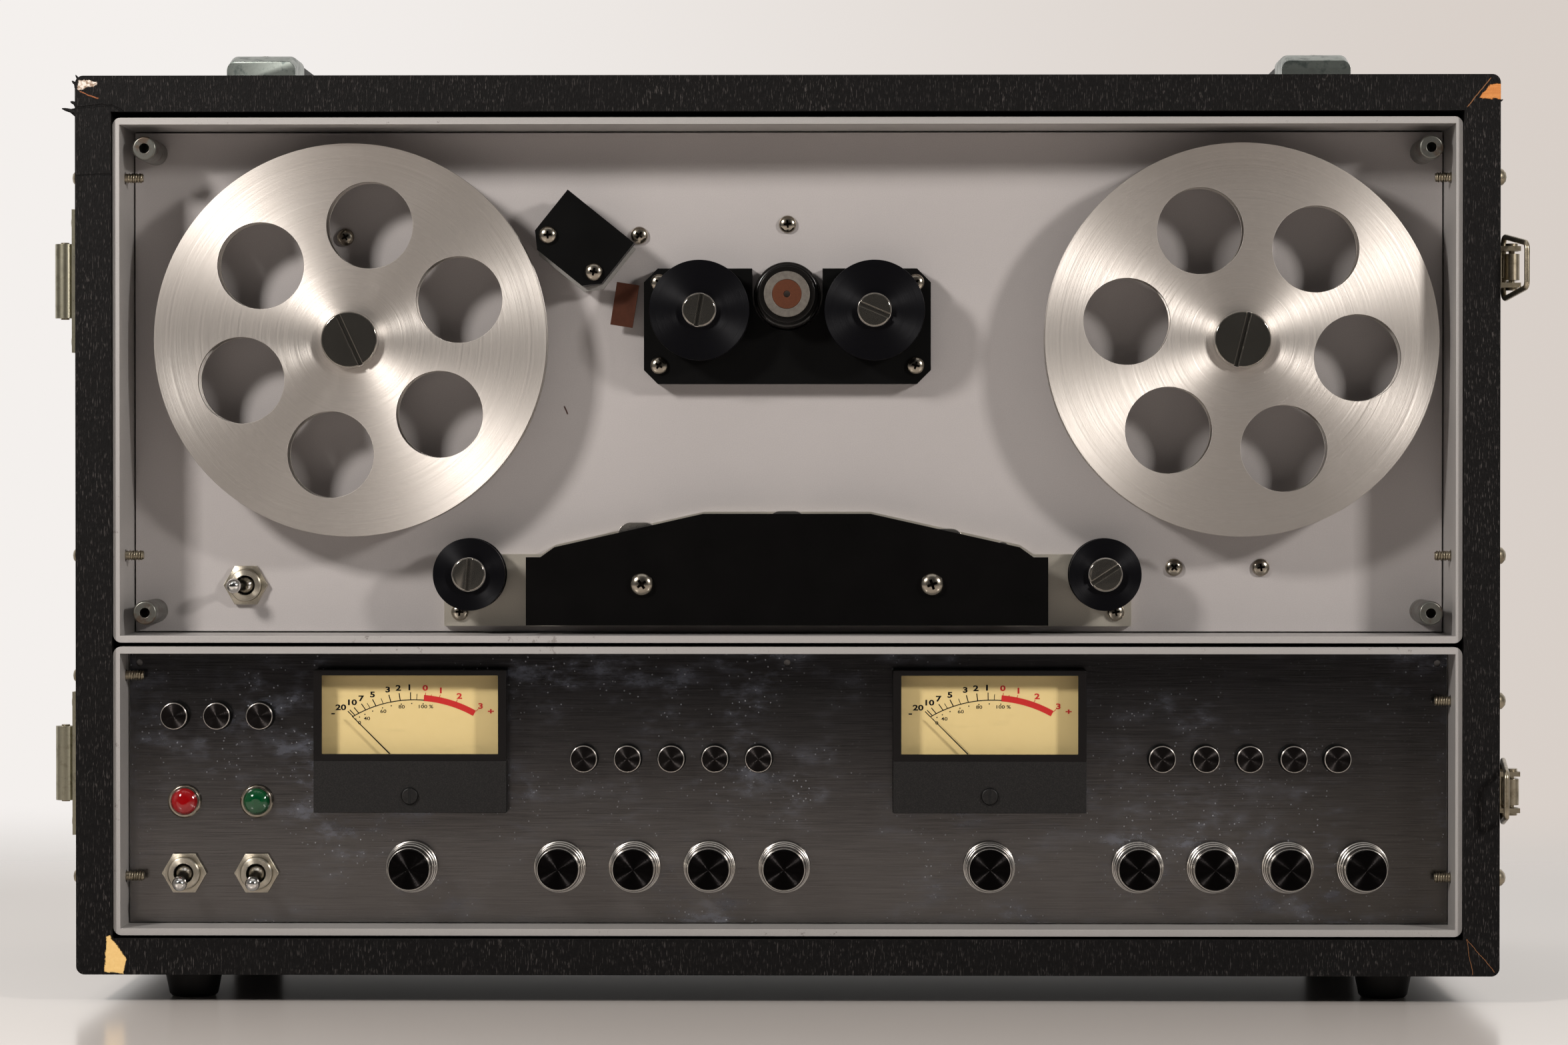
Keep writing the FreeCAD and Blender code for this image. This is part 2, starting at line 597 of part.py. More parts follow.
def turned(label, *profile):
    """A piece turned about its own Y axis from pairs of (radius, height towards the front)."""
    body = new_body(label)
    outline = points(*[(radius, f"-({height})") for radius, height in profile])
    drawn = sketch_on(body, "XY_Plane", outline)
    made = body.newObject("PartDesign::Revolution", label + "_turn")
    made.Profile = drawn
    made.ReferenceAxis = (drawn, ["V_Axis"])
    made.Angle = 360
    return body


def dome(radius, low, high):
    """Profile points of a quarter ellipse, from its rim to the axis."""
    rise = f"(({high}) - ({low}))"
    curve = [(f"({radius})*cos({angle}deg)", f"{low} + {rise}*sin({angle}deg)")
             for angle in (0, 30, 60)]
    return [*curve, ("0", high)]


def ring(label, inner, outer, low, high):
    """A turned ring between two diameters and two heights."""
    return turned(label, (f"({inner})/2", low), (f"({outer})/2", low),
                  (f"({outer})/2", high), (f"({inner})/2", high))


def box(label, wide, deep, high, x, front, z):
    """A block centred on x and z, with its front face at the given y."""
    made = doc.addObject("Part::Box", label)
    for setting, text in (("Length", wide), ("Width", deep), ("Height", high)):
        bind(made, setting, text)
    return place(made, f"{x} - ({wide})/2", front, f"{z} - ({high})/2")


def rod(label, size, height, x, y, low):
    """An upright round rod."""
    made = doc.addObject("Part::Cylinder", label)
    bind(made, "Radius", f"({size})/2")
    bind(made, "Height", height)
    return place(made, x, y, low)


def joined(label, kind, first, *others):
    """Part::MultiFuse of all the pieces, or Part::Cut of one piece by another."""
    made = doc.addObject(kind, label)
    if kind == "Part::Cut":
        made.Base, made.Tool = first, others[0]
    else:
        made.Shapes = [first, *others]
    return made


def copy_of(master, x="0", y="0", z="0", axis=UPRIGHT, angle="0"):
    link = doc.addObject("App::Link", master.Label + "_copy")
    link.LinkedObject = master
    link.LinkTransform = True
    return place(link, x, y, z, axis, angle)


def node(label, *pieces):
    """Group separate solids in one node."""
    made = doc.addObject("Part::Compound", label)
    made.Label = label
    made.Links = list(pieces)
    NODES.append(made)
    return made


def single(piece):
    """Take one piece as a node of its own."""
    NODES.append(piece)
    return piece


def round_edges(body, feature, radius, wanted):
    """Fillet the edges of a feature that the test picks."""
    doc.recompute()
    names = [f"Edge{number}" for number, edge in enumerate(feature.Shape.Edges, start=1)
             if wanted(edge)]
    made = body.newObject("PartDesign::Fillet", body.Label + "_fillet")
    made.Base = (feature, names)
    bind(made, "Radius", radius)
    return made


def runs_back(half_width, half_height):
    """Pick the straight edges that run front to back at the outer corners."""
    def wanted(edge):
        spot = edge.CenterOfMass
        span = edge.BoundBox
        at_corner = (math.isclose(abs(spot.x), half_width, abs_tol=0.01)
                     and math.isclose(abs(spot.z), half_height, abs_tol=0.01))
        return at_corner and span.YLength > span.XLength + span.ZLength
    return wanted


def drill(body, role, level, size, depth, spots, backwards=False):
    """Round holes from one face inwards."""
    drawn = sketch_on(body, role, *[circle(size, across, up) for across, up in spots], level=level)
    return pocket(body, drawn, depth, backwards)


# --- case ----------------------------------------------------------------------------------

def case_bolt_heights(side):
    """Bolt heights above the case's mid-height, for one side."""
    upper = "panel_bolt_left" if side == "left" else "panel_bolt_right"
    return ["deck_z - middle_z + deck_bolt_high", "deck_z - middle_z + deck_bolt_low",
            f"panel_z - middle_z + {upper}", "panel_z - middle_z + panel_bolt_low"]


def case_shell():
    """Plywood case with its covering and the glued battens behind the rear panel."""
    body = new_body("case_shell")
    inside = ("case_width - 2*case_wall", "case_height - 2*case_wall")
    walls = sketch_on(body, "XZ_Plane", rectangle("case_width", "case_height"),
                      rectangle(*inside), level="-case_depth/2")
    shell = pad(body, walls, "case_depth")
    round_edges(body, shell, "case_corner", runs_back(value("case_width/2"), value("case_height/2")))
    frame = sketch_on(body, "XZ_Plane", rectangle(*inside),
                      rectangle(*[f"{size} - 2*batten_width" for size in inside]),
                      level="-(case_depth/2 - rear_recess - rear_plate)")
    pad(body, frame, "batten_depth")
    along = "lip_y + bolt_drop - centre_y"
    hole = "bolt_thread + 2*bolt_clear"
    for side, level in (("left", "-case_width/2"), ("right", "case_width/2")):
        spots = [(along, height) for height in case_bolt_heights(side)]
        drill(body, "YZ_Plane", level, hole, "case_wall", spots, backwards=side == "left")
    foot_spots = [(f"{across}*(case_width/2 - foot_inset_x)", f"{along}*(case_depth/2 - foot_inset_y)")
                  for across in (-1, 1) for along in (-1, 1)]
    drill(body, "XY_Plane", "-case_height/2", "screw_shank + 2*bolt_clear",
          "long_screw_reach - foot_sole + slide_gap", foot_spots, backwards=True)
    cap_spots = [(f"{across}*handle_x", f"{along}*(case_depth/2 - handle_front - handle_cap_length/2)")
                 for across in (-1, 1) for along in (-1, 1)]
    drill(body, "XY_Plane", "case_height/2", "screw_shank + 2*bolt_clear",
          "long_screw_reach + handle_seat - handle_cap_high + slide_gap", cap_spots)
    hinge_spots = [("hinge_screw_back - case_depth/2", f"{hinge} + {sign}*hinge_screw")
                   for hinge in ("upper_hinge_z", "lower_hinge_z") for sign in (-1, 1)]
    drill(body, "YZ_Plane", "-case_width/2", "screw_shank + 2*bolt_clear", "screw_reach",
          hinge_spots, backwards=True)
    place(body, "centre_x", "centre_y", "middle_z")
    single(body)


def audio_socket():
    """A jack socket: round nut, body through the panel and a blind bore."""
    rear = "-rear_plate - socket_depth"
    return turned("audio_socket", ("0", rear), ("socket_body/2", rear), ("socket_body/2", "0"),
                  ("socket_size/2", "0"), ("socket_size/2", "inlet_out/2"),
                  ("socket_size/2 - socket_wall", "inlet_out"), ("socket_mouth/2", "inlet_out"),
                  ("socket_mouth/2", f"{rear} + socket_wall"), ("0", f"{rear} + socket_wall"))


def fuse_holder():
    """A screw-in fuse holder: body through the panel, flange and knurled cap."""
    rear = "-rear_plate - fuse_depth"
    return turned("fuse_holder", ("0", rear), ("fuse_body/2", rear), ("fuse_body/2", "0"),
                  ("fuse_size/2", "0"), ("fuse_size/2", "inlet_out/2"),
                  ("fuse_body/2", "inlet_out/2"), ("fuse_body/2", "inlet_out"), ("0", "inlet_out"))


def mains_inlet():
    """Mains inlet: flange, body with a blind mouth and three round pins."""
    body = new_body("mains_inlet")
    case = rectangle("inlet_width", "inlet_height")
    pad(body, sketch_on(body, "XZ_Plane", case, level="-inlet_depth"), "inlet_depth")
    flange = rectangle("inlet_width + 2*inlet_rim", "inlet_height + 2*inlet_rim")
    pad(body, sketch_on(body, "XZ_Plane", flange), "inlet_out")
    mouth = rectangle("inlet_width - 2*inlet_wall", "inlet_height - 2*inlet_wall")
    pocket(body, sketch_on(body, "XZ_Plane", mouth, level="inlet_out"),
           "inlet_out + inlet_depth - inlet_wall")
    pins = [circle("inlet_pin", f"{step}*inlet_pin_pitch") for step in (-1, 0, 1)]
    pad(body, sketch_on(body, "XZ_Plane", *pins, level="inlet_wall - inlet_depth"),
        "inlet_pin_length")
    return body


def rear_panel():
    """Rear panel with two windows, and the plates over them that carry the connectors."""
    sockets = [f"socket_x + {index}*socket_pitch" for index in range(4)]
    sound_x = "(socket_x + 1.5*socket_pitch)"
    power_x = "(inlet_x + fuse_x)/2"
    edge = "2*(case_wall + rear_plate_gap)"
    panel = plate("rear_panel_plate", "rear_plate",
                  rectangle(f"case_width - {edge}", f"case_height - {edge}"),
                  rectangle("sound_window", "connector_window", sound_x, "socket_z"),
                  rectangle("power_window", "connector_window", power_x, "socket_z"))
    sound = plate("sound_plate", "connector_plate",
                  rectangle(*connector_outline("sound_window"), sound_x, "socket_z"),
                  *[circle("socket_body + 2*nest_gap", across, "socket_z")
                    for across in sockets])
    power = plate("power_plate", "connector_plate",
                  rectangle(*connector_outline("power_window"), power_x, "socket_z"),
                  circle("fuse_body + 2*nest_gap", "fuse_x", "socket_z"),
                  rectangle("inlet_width + 2*nest_gap", "inlet_height + 2*nest_gap", "inlet_x",
                            "socket_z"))
    pieces = [place(panel, "centre_x", "rear_face_y", "middle_z")]
    pieces += [place(piece, "centre_x", "socket_face_y", "middle_z") for piece in (sound, power)]
    seat = ("socket_face_y", "middle_z + socket_z", UPRIGHT, "180")
    audio = audio_socket()
    pieces += [copy_of(audio, f"centre_x + {across}", *seat) for across in sockets]
    pieces.append(place(fuse_holder(), "centre_x + fuse_x", *seat))
    pieces.append(place(mains_inlet(), "centre_x + inlet_x", *seat))
    node("rear_panel", *pieces)


def connector_outline(window):
    """Width and height of the plate over a connector window."""
    return f"{window} + 2*connector_margin", "connector_window + 2*connector_margin"


def rubber_feet():
    """Four tapered feet with screw recesses."""
    foot = turned("foot", ("screw_shank/2 + bolt_clear", "0"), ("foot_top/2", "0"),
                  ("foot_tip/2", "foot_height - foot_edge"),
                  ("foot_tip/2 - foot_edge", "foot_height"),
                  ("foot_recess/2", "foot_height"), ("foot_recess/2", "foot_sole"),
                  ("screw_shank/2 + bolt_clear", "foot_sole"))
    node("rubber_feet", *[copy_of(foot, *spot, axis=ACROSS, angle="90")
                          for spot in foot_places("foot_height")])


def foot_places(height):
    return [(f"centre_x + {across}*(case_width/2 - foot_inset_x)",
             f"centre_y + {along}*(case_depth/2 - foot_inset_y)", height)
            for across in (-1, 1) for along in (-1, 1)]


def handle_cap():
    """Metal end cap of a strap handle: a wedge with a slot for the strap at its tall end."""
    body = new_body("handle_cap")
    side = points(("0", "0"), ("handle_cap_length", "0"), ("handle_cap_length", "handle_cap_high"),
                  ("handle_cap_slope", "handle_cap_high"), ("0", "handle_cap_low"))
    shape = pad(body, sketch_on(body, "YZ_Plane", side, level="-handle_cap_width/2"),
                "handle_cap_width")
    half = value("handle_cap_width/2")
    round_edges(body, shape, "handle_cap_nose",
                lambda edge: abs(abs(edge.CenterOfMass.x) - half) < 0.01
                and edge.CenterOfMass.z > value("handle_cap_low"))
    slot = sketch_on(body, "XZ_Plane", rectangle("strap_width + 2*slide_gap",
                                                 "strap_thick + 2*slide_gap", "0",
                                                 "strap_low + strap_thick/2"),
                     level="-handle_cap_length")
    pocket(body, slot, "strap_inside + slide_gap", backwards=True)
    middle = [("0", "handle_cap_length/2")]
    drill(body, "XY_Plane", "handle_cap_high", "screw_shank + 2*bolt_clear", "handle_cap_high",
          middle)
    drill(body, "XY_Plane", "handle_cap_high", "screw_head + 2*bolt_clear", "handle_seat", middle)
    return body


def handle_strap():
    """Flexible strap between two caps, a little proud in its middle."""
    body = new_body("handle_strap")
    half = "(case_depth/2 - handle_front - handle_cap_length + strap_inside)"
    shoulder = "strap_middle"
    ends = f"({half} - strap_straight)"
    side = points((f"-{half}", "strap_low"), (f"-{ends}", "strap_low"),
                  (f"-{shoulder}", "strap_low + strap_rise"), (shoulder, "strap_low + strap_rise"),
                  (ends, "strap_low"), (half, "strap_low"), (half, "strap_low + strap_thick"),
                  (ends, "strap_low + strap_thick"),
                  (shoulder, "strap_low + strap_rise + strap_thick"),
                  (f"-{shoulder}", "strap_low + strap_rise + strap_thick"),
                  (f"-{ends}", "strap_low + strap_thick"), (f"-{half}", "strap_low + strap_thick"))
    pad(body, sketch_on(body, "YZ_Plane", side, level="-strap_width/2"), "strap_width")
    return body


def carry_handles():
    """Two flexible straps; their end caps are in case_hardware."""
    strap = handle_strap()
    node("handle_straps", *[copy_of(strap, f"centre_x + {side}*handle_x", "centre_y", "top_z")
                            for side in (-1, 1)])


def hinge_half():
    """Leaf, rolled knuckle and pin of a lift-off hinge, at the case's left front edge."""
    leaf = box("hinge_leaf", "hinge_leaf", "hinge_leaf_depth", "hinge_leaf_height",
               "-hinge_leaf/2", "0", "0")
    web = box("hinge_web", "hinge_barrel_out", "hinge_leaf", "hinge_barrel_height",
              "-hinge_barrel_out/2", "hinge_barrel/2 - hinge_leaf/2", "0")
    knuckle = rod("hinge_knuckle", "hinge_barrel", "hinge_barrel_height",
                  "-hinge_barrel_out", "hinge_barrel/2", "-hinge_barrel_height/2")
    whole = joined("hinge_solid", "Part::MultiFuse", leaf, web, knuckle)
    bore = rod("hinge_bore", "hinge_pin + 2*nest_gap", "hinge_barrel_height + 2*cut_over",
               "-hinge_barrel_out", "hinge_barrel/2", "-hinge_barrel_height/2 - cut_over")
    drilled = joined("hinge_drilled", "Part::Cut", whole, bore)
    screw_holes = []
    for sign in (-1, 1):
        hole = doc.addObject("Part::Cylinder", "hinge_screw_hole")
        bind(hole, "Radius", "screw_shank/2 + bolt_clear")
        bind(hole, "Height", "hinge_leaf + 2*cut_over")
        place(hole, "-hinge_leaf - cut_over", "hinge_screw_back", f"{sign}*hinge_screw",
              (0, 1, 0), "90")
        screw_holes.append(hole)
    holes = joined("hinge_holes", "Part::MultiFuse", *screw_holes)
    half = joined("hinge_half", "Part::Cut", drilled, holes)
    pin = rod("hinge_pin_rod", "hinge_pin", "hinge_barrel_height + 2*hinge_pin_stand",
              "-hinge_barrel_out", "hinge_barrel/2", "-hinge_barrel_height/2 - hinge_pin_stand")
    return half, pin


def latch_base():
    """Latch base: a plate on the case side with two ears that hold the lever's pin."""
    plate_box = box("latch_plate", "latch_sheet", "latch_depth", "latch_height",
                    "latch_sheet/2", "-latch_ear_half", "0")
    pieces = [plate_box]
    for sign in (-1, 1):
        pieces.append(box("latch_ear_plate", "latch_ear_out", "2*latch_ear_half", "latch_ear",
                          "latch_ear_out/2", "-latch_ear_half",
                          f"{sign}*(latch_height - latch_ear)/2"))
    solid = joined("latch_solid", "Part::MultiFuse", *pieces)
    bore = rod("latch_bore", "latch_pin + 2*nest_gap", "latch_height + 2*cut_over",
               "latch_pin_out", "0", "-latch_height/2 - cut_over")
    base = joined("latch_base", "Part::Cut", solid, bore)
    shank = rod("latch_shank", "latch_pin", "latch_height", "latch_pin_out", "0", "-latch_height/2")
    heads = [rod("latch_rivet_head", "latch_rivet", "latch_rivet_height", "latch_pin_out", "0", low)
             for low in ("latch_height/2", "-latch_height/2 - latch_rivet_height")]
    return base, joined("latch_pin_rivet", "Part::MultiFuse", shank, *heads)


def case_hardware():
    """Hinge halves, latch bases with their pins, and handle end caps."""
    pieces = []
    for piece in hinge_half():
        for height in ("upper_hinge_z", "lower_hinge_z"):
            pieces.append(copy_of(piece, "left_side_x", "front_y", f"middle_z + {height}"))
    for piece in latch_base():
        for height in ("upper_latch_z", "lower_latch_z"):
            pieces.append(copy_of(piece, "right_side_x", "front_y + latch_pin_back",
                                  f"middle_z + {height}"))
    cap = handle_cap()
    for side in (-1, 1):
        pieces.append(copy_of(cap, f"centre_x + {side}*handle_x", "cap_wall_y", "top_z"))
        pieces.append(copy_of(cap, f"centre_x + {side}*handle_x", "rear_y - handle_front", "top_z",
                              UPRIGHT, "180"))
    node("case_hardware", *pieces)


def latch_lever():
    """Latch lever: rolled knuckle on the pin, a plate lying back and two lugs for the bail."""
    knuckle = rod("lever_roll", "lever_knuckle", "lever_width", "0", "0", "-lever_width/2")
    skin = box("lever_plate", "lever_sheet", "lever_length", "lever_width",
               "lever_knuckle/2 - lever_sheet/2", "0", "0")
    eye_x, around = "(bail_out - latch_pin_out)", "(bail_wire/2 + lug_margin)"
    lugs = [box("lever_lug", f"lever_knuckle/2 - {eye_x} + {around}", f"2*{around}", "lever_sheet",
                f"(lever_knuckle/2 + {eye_x} - {around})/2", f"bail_back - {around}",
                f"{sign}*(lever_width - lever_sheet)/2") for sign in (-1, 1)]
    solid = joined("lever_solid", "Part::MultiFuse", knuckle, skin, *lugs)
    tall, low = "lever_width + 2*cut_over", "-lever_width/2 - cut_over"
    bore = rod("lever_bore", "latch_pin + 2*running_gap", tall, "0", "0", low)
    eye = rod("lever_eye", "bail_wire + 2*running_gap", tall, eye_x, "bail_back", low)
    holes = joined("lever_holes", "Part::MultiFuse", bore, eye)
    return joined("lever_master", "Part::Cut", solid, holes)


def bail(label, angle, height):
    """Closed wire bail: wide at its pivot rod, narrow at its hook, with round bends."""
    wide, narrow = value("bail_wide")/2, value("bail_narrow")/2
    reach, bend, wire = value("bail_length"), value("bail_bend"), value("bail_wire")/2
    corners = [Vector(0, 0, -wide), Vector(0, -reach, -narrow), Vector(0, -reach, narrow),
               Vector(0, 0, wide)]
    arcs = []
    for index, corner in enumerate(corners):
        back = (corners[index - 1] - corner).normalize()
        ahead = (corners[(index + 1) % 4] - corner).normalize()
        half_turn = back.getAngle(ahead)/2
        trim = bend/math.tan(half_turn)
        middle_way = (back + ahead).normalize()
        middle = corner + middle_way*(bend/math.sin(half_turn) - bend)
        arcs.append(Part.Arc(corner + back*trim, middle, corner + ahead*trim))
    edges = []
    for index, arc in enumerate(arcs):
        edges.append(arc.toShape())
        edges.append(Part.LineSegment(arc.EndPoint, arcs[(index + 1) % 4].StartPoint).toShape())
    path = Part.Wire(edges)
    start = arcs[0].StartPoint
    ring_wire = Part.Wire(Part.Circle(start, arcs[0].toShape().tangentAt(0), wire).toShape())
    solid = Part.Wire(path).makePipeShell([ring_wire], True, False)
    made = doc.addObject("Part::Feature", label)
    made.Shape = solid
    place(made, "right_side_x + bail_out", "front_y + bail_setback", f"middle_z + {height}",
          UPRIGHT, angle)
    single(made)


def latches():
    """Levers and bails of the two draw latches."""
    master = latch_lever()
    for name, height in (("upper", "upper_latch_z"), ("lower", "lower_latch_z")):
        lever = copy_of(master, "right_side_x + latch_pin_out", "front_y + latch_pin_back",
                        f"middle_z + {height}")
        node(f"{name}_latch_lever", lever)
        bail(f"{name}_latch_bail", f"{name}_bail_angle", height)


# --- trays and plates ----------------------------------------------------------------------

def ledge_strips(label, height, setback, middle):
    """Four strips fixed inside a tray's walls, which its plate lies on."""
    inside = f"({height} - 2*tray_sheet)"
    front = f"lip_y + {setback}"
    strips = []
    for side, sign in (("first", "-"), ("second", "+")):
        strips.append(box(f"{label}_{side}_long_ledge", "tray_inside", "tray_sheet", "tray_ledge",
                          "centre_x", front, f"{middle} {sign} ({inside} - tray_ledge)/2"))
        strips.append(box(f"{label}_{side}_short_ledge", "tray_ledge", "tray_sheet",
                          f"({inside} - 2*tray_ledge)",
                          f"centre_x {sign} (tray_inside - tray_ledge)/2", front, middle))
    return strips


def tray(label, height, depth, low_bolts):
    """Formed tray: four walls and a rear wall."""
    body = new_body(label)
    inside = ("tray_inside", f"{height} - 2*tray_sheet")
    walls = sketch_on(body, "XZ_Plane", rectangle("tray_width", height), rectangle(*inside),
                      level=f"-{depth}")
    shell = pad(body, walls, depth)
    round_edges(body, shell, "tray_corner", runs_back(value("tray_width/2"), value(f"{height}/2")))
    back = sketch_on(body, "XZ_Plane", rectangle(*inside), level=f"-{depth}")
    pad(body, back, "tray_sheet")
    hole = "bolt_thread + 2*bolt_clear"
    for side, heights in low_bolts.items():
        spots = [("bolt_drop", bolt) for bolt in heights]
        level = "-tray_width/2" if side == "left" else "tray_width/2"
        drill(body, "YZ_Plane", level, hole, "tray_sheet", spots, backwards=side == "left")
    return body


def trays():
    deck_bolts = ["deck_bolt_high", "deck_bolt_low"]
    upper = tray("transport_shell", "deck_tray_height", "deck_tray_depth",
                 {"left": deck_bolts, "right": deck_bolts})
    node("transport_tray", place(upper, "centre_x", "lip_y", "deck_z"),
         *ledge_strips("transport", "deck_tray_height", "(deck_drop + deck_thick)", "deck_z"))
    lower = tray("electronics_shell", "panel_tray_height", "panel_tray_depth",
                 {"left": ["panel_bolt_left", "panel_bolt_low"],
                  "right": ["panel_bolt_right", "panel_bolt_low"]})
    node("electronics_tray", place(lower, "centre_x", "lip_y", "panel_z"),
         *ledge_strips("electronics", "panel_tray_height", "(panel_drop + panel_thick)",
                       "panel_z"))


def on_deck(x, z, height="0"):
    """Place of a piece on the deck, height above the deck's front face."""
    return f"centre_x + {x}", f"deck_y - ({height})", f"deck_z + {z}"


def on_panel(x, z, height="0"):
    """Place of a piece on the control panel, height above the panel's front face."""
    return f"centre_x + {x}", f"panel_y - ({height})", f"panel_z + {z}"


def deck_screw_spots():
    return [("deck_screw_a_x*spread", "deck_screw_a_z"), ("0", "deck_screw_b_z"),
            ("deck_screw_c_x*spread", "deck_screw_c_z"), ("deck_screw_d_x", "deck_screw_d_z"),
            ("deck_screw_e_x", "deck_screw_d_z")]


def post_spots():
    return [(f"{across}*post_x", f"{up}*post_z") for across in (-1, 1) for up in (-1, 1)]


def block_screw_spots():
    return [(f"{across}*block_screw_x", up) for across in (-1, 1)
            for up in ("block_screw_high", "block_screw_low")]


def plate_screw_spots():
    return [("-plate_screw_x", "plate_screw_z"), ("plate_screw_x", "plate_screw_z")]


def reel_spots():
    return [("left_reel_x*spread", "reel_z"), ("right_reel_x*spread", "reel_z")]


def guide_spots():
    return [("-guide_x", "guide_z"), ("guide_x", "guide_z")]


def flanged_spots():
    return [("-flanged_x", "flanged_z"), ("flanged_x", "flanged_z")]


def deck_plate():
    """Deck plate with its drilled holes."""
    thread = "stud_thread + 2*bolt_clear"
    shank = "screw_shank + 2*bolt_clear"
    holes = [circle(thread, *spot) for spot in reel_spots() + guide_spots()]
    holes += [circle("post_spigot + 2*bolt_clear", *spot) for spot in post_spots()]
    screws = deck_screw_spots() + block_screw_spots() + plate_screw_spots()
    holes += [circle(shank, *spot) for spot in screws]
    holes.append(circle("motor_boss + 2*slide_gap", "0", "capstan_z"))
    holes.append(circle("toggle_thread + 2*bolt_clear", "deck_toggle_x*spread", "deck_toggle_z"))
    edge = "2*(tray_sheet + plate_gap)"
    body = plate("deck_plate", "deck_thick",
                 rectangle(f"tray_width - {edge}", f"deck_tray_height - {edge}"), *holes,
                 level="-deck_thick")
    single(place(body, "centre_x", "deck_y", "deck_z"))


def channel_spots(first, count, pitch, height):
    """Places of a row that both channels repeat."""
    return [(f"({channel} + {first} + {index}*{pitch})*spread", height)
            for channel in ("left_channel_x", "right_channel_x") for index in range(count)]


def knob_spots():
    spots = []
    for channel in ("left_channel_x", "right_channel_x"):
        spots.append((f"{channel}*spread", "knob_z"))
        spots += [(f"({channel} + knob_first + {index}*knob_pitch)*spread", "knob_z")
                  for index in range(4)]
    return spots


def button_spots():
    corner = [(f"(corner_button_x + {index}*corner_button_pitch)*spread", "corner_button_z")
              for index in range(3)]
    return corner + channel_spots("row_button_x", 5, "row_button_pitch", "row_button_z")


def lamp_spots():
    return [("left_toggle_x*spread", "lamp_z"), ("right_toggle_x*spread", "lamp_z")]


def panel_toggle_spots():
    return [("left_toggle_x*spread", "panel_toggle_z"),
            ("right_toggle_x*spread", "panel_toggle_z")]


def meter_spots():
    return [("left_channel_x*spread", "meter_z"), ("right_channel_x*spread", "meter_z")]


def control_panel():
    """Brushed control panel with a hole for every control."""
    holes = [circle("knob_shaft + 2*slide_gap", *spot) for spot in knob_spots()]
    holes += [circle("button_bush + 2*bolt_clear", *spot) for spot in button_spots()]
    holes += [circle("lamp_tube + 2*bolt_clear", *spot) for spot in lamp_spots()]
    holes += [circle("toggle_thread + 2*bolt_clear", *spot) for spot in panel_toggle_spots()]
    holes += [circle("meter_barrel + 2*bolt_clear", *spot) for spot in meter_spots()]
    holes += [circle("panel_hole", f"{side}*panel_hole_x", "panel_hole_z") for side in (-1, 0, 1)]
    edge = "2*(tray_sheet + plate_gap)"
    body = plate("control_panel", "panel_thick",
                 rectangle(f"tray_width - {edge}", f"panel_tray_height - {edge}"), *holes,
                 level="-panel_thick")
    single(place(body, "centre_x", "panel_y", "panel_z"))


# --- transport -----------------------------------------------------------------------------

def reel_flange():
    """Flange with six round windows around the hub."""
    windows = []
    for index in range(6):
        windows.append(circle("reel_window", f"reel_window_ring*cos({index}*60deg)",
                              f"reel_window_ring*sin({index}*60deg)"))
    return plate("reel_flange_disc", "reel_flange", circle("reel_size"), *windows,
                 circle("reel_stud + 2*running_gap"))


def reels():
    """Each reel: two flanges and a hub, turning on its shoulder screw."""
    flange = reel_flange()
    hub = ring("reel_hub_core", "reel_stud + 2*running_gap", "reel_hub", "reel_flange",
               "reel_flange + reel_space")
    for name, (across, up) in zip(("left", "right"), reel_spots()):
        pieces = [copy_of(flange), copy_of(hub), copy_of(flange, y="-(reel_flange + reel_space)")]
        reel = node(f"{name}_reel", *pieces)
        place(reel, *on_deck(across, up, "reel_lift"), FRONT, f"{name}_reel_turn")


def roller(label, size, core):
    """Flanged roller with a tape groove and a counterbored front."""
    return turned(label, ("roller_stud/2 + running_gap", "0"), (f"{size}/2", "0"),
                  (f"{size}/2", "roller_flange"), (f"{core}/2", "roller_flange"),
                  (f"{core}/2", "roller_height - roller_flange"),
                  (f"{size}/2", "roller_height - roller_flange"), (f"{size}/2", "roller_height"),
                  ("roller_stud/2 + running_gap", "roller_height"))


def rollers():
    for name, spot in zip(("left", "right"), flanged_spots()):
        body = roller(f"{name}_flanged_roller", "flanged_size", "flanged_core")
        single(place(body, *on_deck(*spot, "roller_lift")))
    for name, spot in zip(("left", "right"), guide_spots()):
        body = roller(f"{name}_guide_roller", "guide_size", "guide_core")
        single(place(body, *on_deck(*spot, "roller_lift")))


def capstan_roller():
    """Rubber tyre, aluminium hub and bush on the drive motor's shaft."""
    tyre = ring("capstan_tyre_ring", "capstan_hub + 2*nest_gap", "capstan_tyre", "0",
                "capstan_tyre_height")
    hub = ring("capstan_hub_ring", "capstan_bush + 2*nest_gap", "capstan_hub", "0",
               "capstan_hub_height")
    bore, floor = "capstan_shaft/2 + nest_gap", "capstan_hub_height - capstan_bush_face"
    bush = turned("capstan_bush_ring", (bore, "0"), ("capstan_bush/2", "0"),
                  ("capstan_bush/2", "capstan_hub_height"),
                  ("capstan_centre/2", "capstan_hub_height"), ("capstan_centre/2", floor),
                  (bore, floor))
    end = "-(capstan_lift + deck_thick + motor_length/2)"
    shaft = turned("capstan_shaft_rod", ("0", end), ("capstan_shaft/2", end),
                   ("capstan_shaft/2", f"{floor} - nest_gap"), ("0", f"{floor} - nest_gap"))
    place(node("capstan_roller", tyre, hub, bush, shaft), *on_deck("0", "capstan_z", "capstan_lift"))


